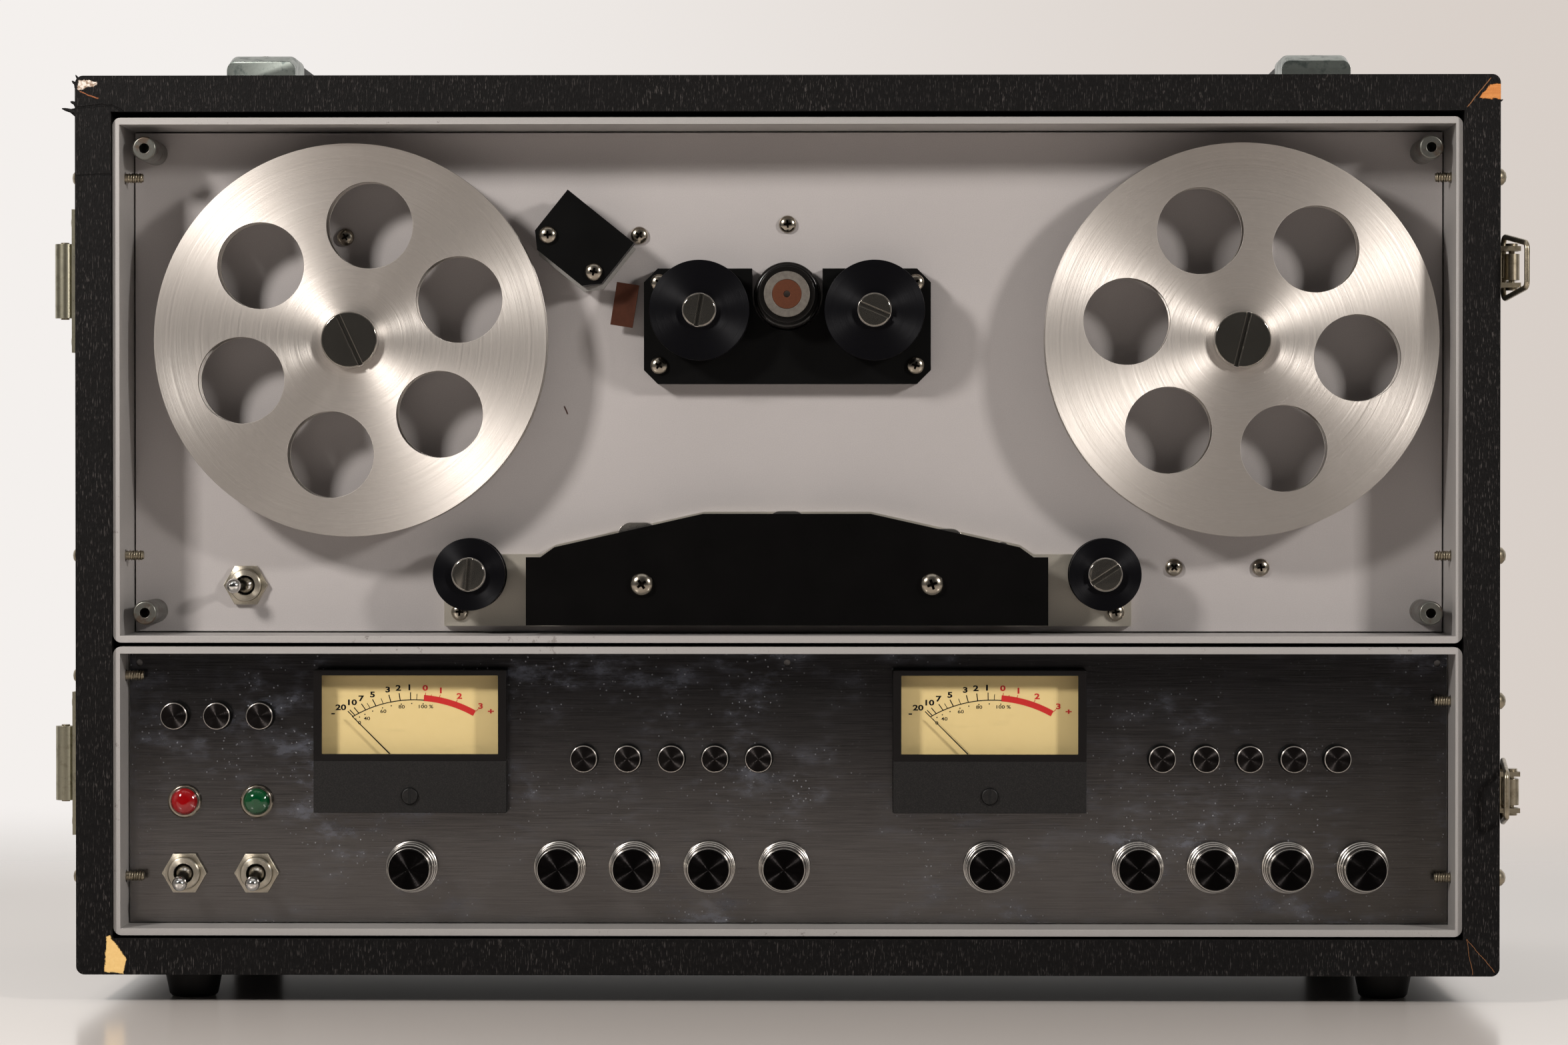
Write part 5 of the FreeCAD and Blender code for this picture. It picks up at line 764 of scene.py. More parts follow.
def settled(holder):
    """The evaluated mesh of an object that is then thrown away."""
    bpy.context.view_layer.update()
    depsgraph = bpy.context.evaluated_depsgraph_get()
    mesh = bpy.data.meshes.new_from_object(holder.evaluated_get(depsgraph))
    bpy.data.objects.remove(holder)
    return mesh


def finished_mesh(shape, choose, soften):
    """A welded shape with a finish for each solid and rounded edges."""
    layer = shape.loops.layers.uv.new("turned")
    finishes = []
    for solid in solids_in(shape):
        finish = choose(solid)
        if finish not in finishes:
            finishes.append(finish)
        for face in solid.faces:
            face.material_index = finishes.index(finish)
            face.smooth = True
        map_turned(solid, layer)
    mesh = bpy.data.meshes.new("dressed")
    shape.to_mesh(mesh)
    shape.free()
    for finish in finishes:
        mesh.materials.append(finish.material)
    return softened(mesh, soften) if soften else mesh


def dressed(node, choose, soften, shape=None):
    """A node's own shape or a changed one, finished and softened. Choose is one finish, or a
    function that picks a finish for a solid."""
    pick = (lambda solid: choose) if isinstance(choose, Finish) else choose
    mesh = finished_mesh(welded(node) if shape is None else shape, pick, soften)
    return placed(node.replace("_", "-"), mesh, node)


print("dressing ready")

# %% Turned shapes


def spin(profile, steps):
    """A closed shape turned about Z from pairs of (radius, height)."""
    shape = bmesh.new()
    rings = []
    for radius, height in profile:
        around = [2 * math.pi * step / steps for step in range(steps)] if radius > 1e-9 else [0.0]
        rings.append([shape.verts.new((radius * math.cos(angle), radius * math.sin(angle), height))
                      for angle in around])
    for below, above in zip(rings, rings[1:]):
        for step in range(steps):
            after = (step + 1) % steps
            corners = [below[step % len(below)], below[after % len(below)],
                       above[after % len(above)], above[step % len(above)]]
            unique = list(dict.fromkeys(corners))
            if len(unique) > 2:
                shape.faces.new(unique)
    return shape


def as_mesh(shape, name, *finishes):
    mesh = bpy.data.meshes.new(name)
    bmesh.ops.recalc_face_normals(shape, faces=shape.faces)
    shape.to_mesh(mesh)
    shape.free()
    for finish in finishes:
        mesh.materials.append(finish.material)
    return mesh


def close_bar(shape, rows):
    """Faces between rows of four corners, and one at each end."""
    for before, after in zip(rows, rows[1:]):
        for first, second in ((0, 1), (1, 3), (3, 2), (2, 0)):
            shape.faces.new((before[first], before[second], after[second], after[first]))
    for end_row in (rows[0], rows[-1]):
        shape.faces.new((end_row[0], end_row[1], end_row[3], end_row[2]))


def facing_front(mesh, x, y, z):
    """Stands a shape that was made lying down up on its edge, facing the front."""
    mesh.transform(Matrix.Translation((x, y, z)) @ Matrix.Rotation(math.radians(90), 4, "X"))
    return mesh


print("turned shapes ready")

# %% [markdown]
# ## The case and everything fixed to it
# Cloth over plywood never makes a sharp edge, so the case gets the widest rounding. Handles,
# hinges, latches and feet keep the model's shapes with plated and rubber finishes.

# %% Case, trays and hardware


def rear_finish(solid):
    if solid.size.x > 70.0:
        return enamel
    if near(solid.size.x, 15.0, 0.5):
        return nickel
    return gloss_black


def hardware_finish(solid):
    if solid.size.z > 45.0:
        return drawn_nickel
    return zinc if near(solid.size.y, 27.5, 1.0) else aged_nickel


dressed("case_shell", vinyl, 1.2)
dressed("rear_panel", rear_finish, 0.2)
dressed("rubber_feet", rubber, 0.3)
dressed("handle_straps", soft_black, 0.6)
dressed("case_hardware", hardware_finish, 0.3)
for level in ("upper", "lower"):
    dressed(f"{level}_latch_lever", aged_nickel, 0.12)
    dressed(f"{level}_latch_bail", aged_nickel, 0.0)
dressed("transport_tray", tray_paint, 0.25)
dressed("electronics_tray", tray_paint, 0.25)
dressed("deck_plate", deck_paint, 0.1)
dressed("control_panel", dark_panel, 0.1)
print("case dressed")

# %% Transport pieces


def capstan_finish(solid):
    wide = solid.size.x
    if wide > 19.0:
        return tyre
    if wide > 14.0:
        return rough_hub
    return bronze if wide > 8.0 else steel


def motor_finish(solid):
    return tyre if 20.0 < solid.size.x < 30.0 else steel


def angled_finish(solid):
    if solid.size.y < 1.5:
        return copper
    if solid.size.y > 4.4 and solid.size.x < 4.0:
        return steel
    if near(solid.size.y, 3.0):
        return pad_grey
    return black_anodised


def angled_block(node):
    """The block on its round base. The base is drawn with its edge tucked under the block."""
    tucked = 0.18
    shape = welded(node)
    for solid in solids_in(shape):
        if near(solid.size.x, 29.0, 0.5) and near(solid.size.y, 5.0):
            for vert in solid.corners():
                vert.co.x += (solid.middle.x * MM - vert.co.x) * tucked
                vert.co.z += (solid.middle.z * MM - vert.co.z) * tucked
    return dressed(node, angled_finish, 0.2, shape)


def stud_finish(solid):
    if solid.size.x > 22.0:
        return steel
    if near(solid.size.x, 8.6):
        return post_zinc
    return reel_head if solid.size.x > 15.0 else roller_head


for side in ("left", "right"):
    dressed(f"{side}_flanged_roller", roller_black, 0.2)
    dressed(f"{side}_guide_roller", roller_black, 0.2)
dressed("capstan_roller", capstan_finish, 0.15)
dressed("drive_motor", motor_finish, 0.3)
dressed("roller_base_block", black_anodised, 0.3)
dressed("head_base_plate", plate_paint, 0.2)
dressed("head_cover_plate", cover_paint, 0.2)
dressed("tape_heads", steel, 0.15)
angled_block("angled_guide_block")
dressed("posts_and_spindles", stud_finish, 0.18)
print("transport dressed")

# %% Panel pieces


def bushing_finish(solid):
    if solid.size.y > 10.0:
        return gloss_black
    return black_anodised if near(solid.size.x, 10.5, 0.2) else turned_nickel


def bare_bevel(finish, radius):
    """1 on the bevel of a button's cap, which starts where the turned face ends."""
    _, along, _ = finish.axes()
    return radius.step(4.46, 4.54) * (1.0 - ((along - panel_front) / MM + 5.2).step(0.0, 0.15))


def knob_finish(solid):
    wide = solid.size.x
    if wide > 17.0:
        return bright_skirt
    return black_spun if wide > 10.0 else steel


def needle(node):
    """The model's needle drawn to half its width, as a pressed pointer narrows from its hub."""
    shape = welded(node)
    whole = Solid(shape.faces)
    lean = Vector((whole.size.x, 0.0, -whole.size.z)).normalized()
    for vert in shape.verts:
        away = vert.co - whole.middle * MM
        beside = away - lean * away.dot(lean)
        beside.y = 0.0
        vert.co -= beside * 0.5
    return dressed(node, scale_black, 0.0, shape)


SKIRT = [(3.1, 0.6), (9.2, 0.6), (9.4, 0.8), (9.4, 2.0), (9.25, 2.9), (8.8, 3.1), (8.8, 3.7),
         (9.05, 3.9), (8.9, 6.2), (8.45, 6.5), (8.45, 7.2), (8.65, 7.4), (8.45, 9.6), (8.05, 9.9),
         (8.05, 10.6), (8.2, 10.8), (7.95, 12.9), (7.7, 13.7), (7.5, 14.0), (7.25, 14.0),
         (7.25, 13.2), (3.1, 13.2), (3.1, 0.6)]


def knob(node):
    """The model's cap and shaft in a skirt turned with three tiers, as radius and height."""
    shape = welded(node)
    plain = next(solid for solid in solids_in(shape) if solid.size.x > 17.0)
    centre = plain.middle * MM
    bmesh.ops.delete(shape, geom=plain.faces, context="FACES")
    skirt = spin([(radius * MM, height * MM) for radius, height in SKIRT], 96)
    bmesh.ops.remove_doubles(skirt, verts=skirt.verts, dist=1e-7)
    mesh = as_mesh(skirt, "skirt", bright_skirt)
    shape.from_mesh(facing_front(mesh, centre.x, panel_front, centre.z))
    shape.faces.index_update()
    return dressed(node, knob_finish, 0.08, shape)


def lamp_finish(solid):
    if near(solid.size.x, 9.4):
        return red_lens if solid.middle.x < lamp_middle else green_lens
    return nickel


CARD_THICK = 0.8


def meter_finish(solid):
    if near(solid.size.y, CARD_THICK, 0.1):
        return dial_card
    if near(solid.size.y, 1.2, 0.1):
        return glass
    if near(solid.size.x, 6.2, 0.2):
        return adjuster_black
    return gloss_black if solid.size.x < 8.0 else shell_black


def board_finish(solid):
    if solid.size.x > 300.0:
        return board_green
    if solid.size.x > 30.0:
        return core_brown
    return gloss_black if solid.size.y > 20.0 else steel


button_black = spun("button_black", (28, 25, 24), (18, 16, 16), 0.6, 0.24, 0.9, rim=bare_bevel)
lamp_middle = middle("panel_lamps").x / MM
dressed("control_bushings", bushing_finish, 0.12)
for number in range(1, 14):
    dressed(f"push_button_{number}", button_black, 0.1)
for number in range(1, 11):
    knob(f"knob_{number}")
for place in ("deck", "left", "right"):
    dressed(f"{place}_toggle_lever", chrome, 0.0)
for side in ("left", "right"):
    needle(f"{side}_meter_needle")
dressed("panel_lamps", lamp_finish, 0.12)
dressed("meter_cases", meter_finish, 0.25)
dressed("electronics_board", board_finish, 0.15)
print("panel dressed")

# %% [markdown]
# ## Geometry Nodes recipes
# Reels, screws and scale marks repeat one shape by a rule. `Recipe` builds a node tree with named
# inputs, runs it once and hands back a plain mesh, so nothing stays live in the scene.

# %% Recipe helper


class Recipe:
    """A Geometry Nodes tree that is written as nodes and run once."""

    def __init__(self, name, **sizes):
        self.tree = bpy.data.node_groups.new(name, "GeometryNodeTree")
        sockets = self.tree.interface
        sockets.new_socket("Geometry", in_out="INPUT", socket_type="NodeSocketGeometry")
        sockets.new_socket("Geometry", in_out="OUTPUT", socket_type="NodeSocketGeometry")
        self.sizes = {}
        for label, value in sizes.items():
            kind = "NodeSocketInt" if isinstance(value, int) else "NodeSocketFloat"
            self.sizes[label] = sockets.new_socket(label, in_out="INPUT", socket_type=kind)
            self.sizes[label].default_value = value
        self.entry = self.tree.nodes.new("NodeGroupInput")
        self.exit = self.tree.nodes.new("NodeGroupOutput")

    def given(self, label="Geometry"):
        return self.entry.outputs[label]

    def node(self, kind, settings=None, inputs=None, out=0):
        made = self.tree.nodes.new(kind)
        for word, value in (settings or {}).items():
            setattr(made, word, value)
        for label, value in (inputs or {}).items():
            self.plug(made.inputs[label], value)
        return made.outputs[out]

    def plug(self, socket, value):
        if isinstance(value, list):
            for part in value:
                self.tree.links.new(part, socket)
        elif isinstance(value, bpy.types.NodeSocket):
            self.tree.links.new(value, socket)
        else:
            socket.default_value = value

    def maths(self, operation, *terms):
        return self.node("ShaderNodeMath", {"operation": operation}, dict(enumerate(terms)))

    def ends_in(self, shape, finish, recess=None):
        """Turns instances into real mesh, sets the finish and closes the tree. Faces marked
        as recess may take a finish of their own."""
        real = self.node("GeometryNodeRealizeInstances", inputs={0: shape})
        painted = self.node("GeometryNodeSetMaterial",
                            inputs={"Geometry": real, "Material": finish.material})
        if recess:
            marked = self.node("GeometryNodeInputNamedAttribute", {"data_type": "BOOLEAN"},
                               {"Name": "recess"})
            painted = self.node("GeometryNodeSetMaterial",
                                inputs={"Geometry": painted, "Selection": marked,
                                        "Material": recess.material})
        self.tree.links.new(painted, self.exit.inputs[0])

    def run(self, seed=None, **sizes):
        """Evaluates the tree on a seed mesh and returns a plain mesh."""
        holder = linked("holder", seed or bpy.data.meshes.new("seed"))
        modifier = holder.modifiers.new("recipe", "NODES")
        modifier.node_group = self.tree
        for label, value in sizes.items():
            modifier[self.sizes[label].identifier] = value
        return settled(holder)


print("recipes ready")

# %% [markdown]
# ## The reels
# Each reel is two thin discs on a hub, with six round windows and a centre hole. The rule is: one
# big circle, one small circle and a ring of equal windows, filled and given a thickness. The tree
# takes those sizes by name, so a reel of any other pattern is one call away.

# %% Reel recipe


def reel_recipe():
    recipe = Recipe("reel", radius=0.0705, bore=0.005, window=0.0155, ring=0.0417, windows=6,
                    turn=0.0, thick=0.0015, space=0.008, hub=0.025)
    rim = circle(recipe, recipe.given("radius"), 256)
    bore = circle(recipe, recipe.given("bore"), 96)
    flange = slab(recipe, [rim, bore, window_ring(recipe)], recipe.given("thick"))
    shift = recipe.maths("ADD", recipe.given("thick"), recipe.given("space"))
    front = moved(recipe, flange, shift)
    core = slab(recipe, [circle(recipe, recipe.given("hub"), 128),
                         circle(recipe, recipe.given("bore"), 96)], recipe.given("space"))
    core = moved(recipe, core, recipe.given("thick"))
    whole = recipe.node("GeometryNodeJoinGeometry", inputs={0: [flange, front, core]})
    recipe.ends_in(whole, spun_aluminium)
    return recipe


def circle(recipe, radius, steps):
    return recipe.node("GeometryNodeCurvePrimitiveCircle", {"mode": "RADIUS"},
                       {"Resolution": steps, "Radius": radius})


def window_ring(recipe):
    """Equal circles set round a larger one, turned by an angle."""
    spots = recipe.node("GeometryNodeMeshCircle", {},
                        {"Vertices": recipe.given("windows"), "Radius": recipe.given("ring")})
    angle = recipe.node("ShaderNodeCombineXYZ", inputs={2: recipe.given("turn")})
    turned = recipe.node("GeometryNodeTransform", inputs={"Geometry": spots, "Rotation": angle})
    copies = recipe.node("GeometryNodeInstanceOnPoints",
                         inputs={"Points": turned,
                                 "Instance": circle(recipe, recipe.given("window"), 96)})
    return recipe.node("GeometryNodeRealizeInstances", inputs={0: copies})


def slab(recipe, outlines, thick):
    """Fills outlines, the inner ones as holes, and gives the sheet a thickness upwards."""
    joined = recipe.node("GeometryNodeJoinGeometry", inputs={0: outlines})
    sheet = recipe.node("GeometryNodeFillCurve", inputs={"Curve": joined})
    extrude = recipe.tree.nodes.new("GeometryNodeExtrudeMesh")
    extrude.inputs["Individual"].default_value = False
    recipe.plug(extrude.inputs["Mesh"], sheet)
    recipe.plug(extrude.inputs["Offset Scale"], thick)
    base = recipe.node("GeometryNodeFlipFaces", inputs={0: sheet})
    both = recipe.node("GeometryNodeJoinGeometry", inputs={0: [extrude.outputs["Mesh"], base]})
    return recipe.node("GeometryNodeMergeByDistance",
                       inputs={"Geometry": both, "Distance": 1e-6})


def moved(recipe, shape, height):
    offset = recipe.node("ShaderNodeCombineXYZ", inputs={2: height})
    return recipe.node("GeometryNodeTransform", inputs={"Geometry": shape,
                                                        "Translation": offset})


def reel(recipe, node, turn):
    """A reel from the recipe in the place of its node, with its windows turned by degrees."""
    low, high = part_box(node)
    centre = (low + high) / 2
    mesh = facing_front(recipe.run(turn=math.radians(turn)), centre.x, high.y, centre.z)
    shape = bmesh.new()
    shape.from_mesh(mesh)
    return dressed(node, spun_aluminium, 0.12, flattened(shape))


six_windows = reel_recipe()
for side, turn in (("left", 80.3), ("right", 51.0)):
    made = reel(six_windows, f"{side}_reel", turn)
    print(made.name, len(made.data.polygons), "faces")

# %% [markdown]
# ## Cross-recess screws
# There are dozens of pan-head screws, all one shape in a few sizes. The head is a turned dome with
# a cross cut out of it. The recipe sets a copy on each point, turned by a random but fixed angle,
# because nobody lines screws up. Points carry their own turn and size, so one recipe serves
# screws, shanks and the marks of the meter dials.

# %% Scatter recipe


class Scatter(Recipe):
    """Copies of one small shape, turned and sized by the points they stand on."""

    def __init__(self, name, master, finish, recess=None):
        super().__init__(name, grow=1.0)
        self.master = linked(name, master)
        shape = self.node("GeometryNodeObjectInfo", inputs={"Object": self.master},
                          out="Geometry")
        size = self.attribute("size")
        grown = self.node("ShaderNodeVectorMath", {"operation": "SCALE"},
                          {0: size, "Scale": self.given("grow")})
        copies = self.node("GeometryNodeInstanceOnPoints",
                           inputs={"Points": self.given(), "Instance": shape,
                                   "Rotation": self.attribute("turn"), "Scale": grown})
        self.ends_in(copies, finish, recess)

    def attribute(self, name):
        return self.node("GeometryNodeInputNamedAttribute", {"data_type": "FLOAT_VECTOR"},
                         {"Name": name})

    def made(self, spots):
        """Runs the recipe on spots of (place, turn, size) and clears the master away."""
        mesh = self.run(seed_points(spots))
        bpy.data.objects.remove(self.master)
        return mesh


def seed_points(spots):
    """Single points that carry a turn and a size: (place, turn, size)."""
    mesh = bpy.data.meshes.new("points")
    mesh.from_pydata([spot[0] for spot in spots], [], [])
    for column, label in ((1, "turn"), (2, "size")):
        layer = mesh.attributes.new(label, "FLOAT_VECTOR", "POINT")
        for index, spot in enumerate(spots):
            layer.data[index].vector = spot[column]
    return mesh


def joined(*meshes):
    """One mesh from several, with each one's materials kept."""
    whole = bmesh.new()
    materials = []
    for mesh in meshes:
        before = len(whole.faces)
        whole.from_mesh(mesh)
        whole.faces.ensure_lookup_table()
        for face in whole.faces[before:]:
            material = mesh.materials[face.material_index]
            if material not in materials:
                materials.append(material)
            face.material_index = materials.index(material)
    result = bpy.data.meshes.new("joined")
    whole.to_mesh(result)
    whole.free()
    for material in materials:
        result.materials.append(material)
    return result


print("scatter ready")

# %% Screws


def pan_head():
    """A pan head one unit in radius, with the faces of its cross recess marked."""
    curve = [(0.0, 0.0), (0.95, 0.0), (1.0, 0.05), (1.0, 0.2)]
    curve += [(math.cos(math.radians(angle)), 0.2 + 0.49 * math.sin(math.radians(angle)))
              for angle in (15, 30, 45, 60, 75)]
    head = linked("head", as_mesh(spin(curve + [(0.0, 0.69)], 36), "head"))
    cutter = linked("cutter", cross_cutter())
    cut = head.modifiers.new("cross", "BOOLEAN")
    cut.solver = "EXACT"
    cut.use_self = True
    cut.object = cutter
    mesh = settled(head)
    bpy.data.objects.remove(cutter)
    mesh.set_sharp_from_angle(angle=math.radians(35))
    marks = mesh.attributes.new("recess", "BOOLEAN", "FACE")
    for face in mesh.polygons:
        face.use_smooth = True
        away = min(math.hypot(face.center.x, face.center.y), 1.0)
        dome = 0.2 + 0.49 * math.sqrt(1.0 - away * away)
        marks.data[face.index].value = 0.21 < face.center.z < dome - 0.05
    return mesh


def cross_cutter():
    """Two crossed wedges, narrower at the bottom as a screwdriver's tip is."""
    shape = bmesh.new()
    for turn in (0, 90):
        block = bmesh.ops.create_cube(shape, size=1.0)["verts"]
        for vert in block:
            shrink = 0.55 if vert.co.z < 0 else 1.0
            height = 0.26 if vert.co.z < 0 else 0.9
            vert.co = Vector((vert.co.x * 1.08 * shrink, vert.co.y * 0.28 * shrink, height))
        bmesh.ops.rotate(shape, verts=block, matrix=Matrix.Rotation(math.radians(turn), 3, "Z"))
    return as_mesh(shape, "cutter")


def shank():
    return as_mesh(spin([(0.0, 0.0), (0.47, 0.0), (0.47, -1.0), (0.0, -1.0)], 16), "shank")


def screw_place(solid, luck):
    """Seat, turn, radius and shank length of a screw, read from its own solid."""
    long = max(range(3), key=lambda axis: solid.size[axis])
    radius = solid.size[(long + 1) % 3] / 2
    wide = [vert.co[long] / MM for face in solid.faces for vert in face.verts
            if off_axis(vert.co / MM, solid.middle, long) > 0.93 * radius]
    outward = Vector((0.0, 0.0, 0.0))
    outward[long] = 1.0 if sum(wide) / len(wide) > solid.middle[long] else -1.0
    seat = min(wide) if outward[long] > 0 else max(wide)
    place = solid.middle.copy()
    place[long] = seat
    tail = solid.low[long] if outward[long] > 0 else solid.high[long]
    stand = Vector((0, 0, 1)).rotation_difference(outward).to_matrix()
    turn = stand @ Matrix.Rotation(luck.uniform(0, math.pi / 2), 3, "Z")
    return place * MM, turn.to_euler(), radius * MM, abs(seat - tail) * MM


def off_axis(spot, centre, axis):
    away = spot - centre
    away[axis] = 0.0
    return away.length


def drawn_bolt(solid):
    """A side bolt with a full dome outside and a shank that thins towards its tip."""
    outward = 1.0 if solid.middle.x > 0 else -1.0
    ends = [vert.co.x / MM * outward for vert in solid.corners()]
    tip, crown = min(ends), max(ends)
    for vert in solid.corners():
        depth = vert.co.x / MM * outward
        if depth > crown - 1.65:
            vert.co.x += outward * (depth - crown + 1.7) * 1.1 * MM
        if depth < tip + 1.0:
            vert.co.y += (solid.middle.y * MM - vert.co.y) * 0.3
            vert.co.z += (solid.middle.z * MM - vert.co.z) * 0.3


LONGEST_SCREW = 20.0


def screws_and_bolts(node):
    """Recipe screws where the model has pan heads, and the model's own bolts and washers."""
    luck = random.Random(7)
    shape = welded(node)
    heads, shanks, rest = [], [], []
    for solid in solids_in(shape):
        small = sorted(solid.size)
        if small[0] < 1.0 or small[2] > LONGEST_SCREW:
            rest.append(solid)
            continue
        place, turn, radius, length = screw_place(solid, luck)
        heads.append((place, turn, (radius, radius, radius)))
        shanks.append((place, turn, (radius, radius, length)))
        bmesh.ops.delete(shape, geom=solid.faces, context="FACES")
    for solid in rest:
        if solid.size.x > LONGEST_SCREW:
            drawn_bolt(solid)
    bolts = finished_mesh(shape, lambda solid: aged_nickel, 0.1)
    # The cross recesses take the painted recess shade.
    return joined(Scatter("screw-head", pan_head(), nickel, painted_recess_shade).made(heads),
                  Scatter("screw-shank", shank(), steel).made(shanks), bolts), rest


screws, side_bolts = screws_and_bolts("machine_screws")
placed("machine-screws", screws, "machine_screws")
print("screws:", len(screws.polygons), "faces; bolts and washers:", len(side_bolts))

# %% [markdown]
# ## Threads on the side bolts
# The bolts that hold the trays show their tips inside. A thread is a three-sided profile carried
# along a spiral, and the recipe takes radius, pitch, turns and depth by name.

# %% Thread recipe


def thread_recipe():
    recipe = Recipe("thread", radius=0.0015, pitch=0.0009, turns=6.0, depth=0.0005)
    height = recipe.maths("MULTIPLY", recipe.given("pitch"), recipe.given("turns"))
    path = recipe.node("GeometryNodeCurveSpiral", {},
                       {"Resolution": 20, "Rotations": recipe.given("turns"),
                        "Start Radius": recipe.given("radius"),
                        "End Radius": recipe.given("radius"), "Height": height})
    tooth = recipe.node("GeometryNodeCurvePrimitiveCircle", {"mode": "RADIUS"},
                        {"Resolution": 3, "Radius": recipe.given("depth")})
    thread = recipe.node("GeometryNodeCurveToMesh",
                         inputs={"Curve": path, "Profile Curve": tooth, "Fill Caps": True})
    recipe.ends_in(thread, aged_nickel)
    return recipe


def bolt_threads(node):
    """A thread for the tip of each side bolt, all in one mesh."""
    recipe, shape = thread_recipe(), bmesh.new()
    model = welded(node)
    for bolt in (solid for solid in solids_in(model) if solid.size.x > LONGEST_SCREW):
        inward = 1.0 if bolt.middle.x < 0 else -1.0
        tip = bolt.high.x if inward > 0 else bolt.low.x
        radius = max(off_axis(vert.co / MM, bolt.middle, 0) for vert in bolt.corners()
                     if abs(vert.co.x / MM - tip) < 2.0)
        start = Vector((tip - inward * 0.5, bolt.middle.y, bolt.middle.z)) * MM
        mesh = recipe.run(radius=radius * 0.72 * MM)
        mesh.transform(Matrix.Translation(start)
                       @ Matrix.Rotation(math.radians(-90.0 * inward), 4, "Y"))
        shape.from_mesh(mesh)
    model.free()
    return as_mesh(shape, "threads", aged_nickel)


threads = bolt_threads("machine_screws")
placed("bolt-threads", threads, "machine_screws", extra=True)
print("threads:", len(threads.polygons), "faces")

# %% [markdown]
# ## Meter dials
# A level meter's scale is a rule too: ticks stand on an arc and point at the needle's pivot, with
# dots along a second arc below them. The numbers are plain figures. Everything is a thin print
# that lies on the card, black below the reference level and red above it.

# %% Meter dials

PIVOT = (0.0, -12.4)
ARC = (1.0, -28.9)
ARC_RADIUS = 43.5
TALL_TICKS = (-45.1, -43.6, -40.6, -35.3, -27.4, -15.9, -8.7, -0.8)
SHORT_TICKS = (-31.9, -21.8, 3.8)
RED_TICKS = ((9.8, 1.1), (14.0, 0.6), (19.7, 1.1), (31.4, 1.1), (45.3, 1.2))
DOTS = (-30.0, -27.9, -25.0, -20.9, -15.8, -11.4, -6.4, -1.3, 4.3)
FIGURES = (("20", -25.5, 11.9), ("10", -21.3, 13.7), ("7", -18.1, 15.1), ("5", -14.1, 16.5),
           ("3", -8.6, 18.3), ("2", -4.8, 18.9), ("1", -0.8, 19.1), ("-", -28.3, 9.6))
RED_FIGURES = (("0", 4.9, 18.9), ("1", 10.5, 18.0), ("2", 17.2, 16.0), ("3", 24.8, 12.4),
               ("+", 28.5, 10.5))
SMALL_FIGURES = (("0", -18.8, 6.4), ("40", -16.1, 7.9), ("60", -10.2, 10.5), ("80", -3.6, 12.1),
                 ("100", 4.1, 12.2), ("%", 7.0, 12.2))
INK = 0.06


def polar(centre, angle, radius):
    """The place at a distance from a centre, at an angle from upright in degrees."""
    lean = math.radians(angle)
    return centre[0] + radius * math.sin(lean), centre[1] + radius * math.cos(lean)


def arc_reach(angle, radius):
    """How far from the pivot the arc lies in a direction."""
    lean = math.radians(angle)
    away_x, away_z = PIVOT[0] - ARC[0], PIVOT[1] - ARC[1]
    half = away_x * math.sin(lean) + away_z * math.cos(lean)
    return -half + math.sqrt(half * half + radius * radius - away_x ** 2 - away_z ** 2)


def tick(angle, radius, length, width):
    """A tick as a point for the scatter recipe, standing on the arc of a radius."""
    x, z = polar(PIVOT, angle, arc_reach(angle, radius) + length / 2)
    return ((x * MM, 0.0, z * MM), (0.0, math.radians(angle), 0.0),
            (width * MM, INK * MM, length * MM))


def unit_block():
    shape = bmesh.new()
    bmesh.ops.create_cube(shape, size=1.0)
    return as_mesh(shape, "block")


def unit_disc():
    disc = spin([(0.0, -0.5), (0.5, -0.5), (0.5, 0.5), (0.0, 0.5)], 16)
    bmesh.ops.rotate(disc, verts=disc.verts, matrix=Matrix.Rotation(math.radians(90), 3, "X"))
    return as_mesh(disc, "disc")


def arc_band(low, high, start, end, steps, finish):
    """A curved bar between two radii of the scale's arc."""
    shape = bmesh.new()
    rows = []
    for step in range(steps + 1):
        angle = start + (end - start) * step / steps
        rows.append([shape.verts.new((x * MM, y * MM, z * MM))
                     for radius in (low, high) for x, z in (polar(ARC, angle, radius),)
                     for y in (-INK / 2, INK / 2)])
    close_bar(shape, rows)
    return as_mesh(shape, "band", finish)


def figure(text, x, z, height, wide, bold, finish):
    """One printed figure as a thin solid, centred at x, z."""
    curve = bpy.data.curves.new("figure", "FONT")
    curve.body = text
    curve.size = 1.0
    curve.offset = bold
    curve.extrude = 0.5
    curve.resolution_u = 3
    mesh = settled(linked("figure", curve))
    spots = [vert.co for vert in mesh.vertices]
    low = [min(spot[axis] for spot in spots) for axis in range(2)]
    high = [max(spot[axis] for spot in spots) for axis in range(2)]
    scale = height / (0.73 if text in "-+" else high[1] - low[1])
    mesh.transform(Matrix.Translation((-(low[0] + high[0]) / 2, -(low[1] + high[1]) / 2, 0)))
    mesh.transform(Matrix.Diagonal((scale * wide * MM, scale * MM, INK * MM, 1.0)))
    mesh.transform(Matrix.Translation((x * MM, 0, z * MM)) @ Matrix.Rotation(math.pi / 2, 4, "X"))
    mesh.materials.clear()
    mesh.materials.append(finish.material)
    return mesh


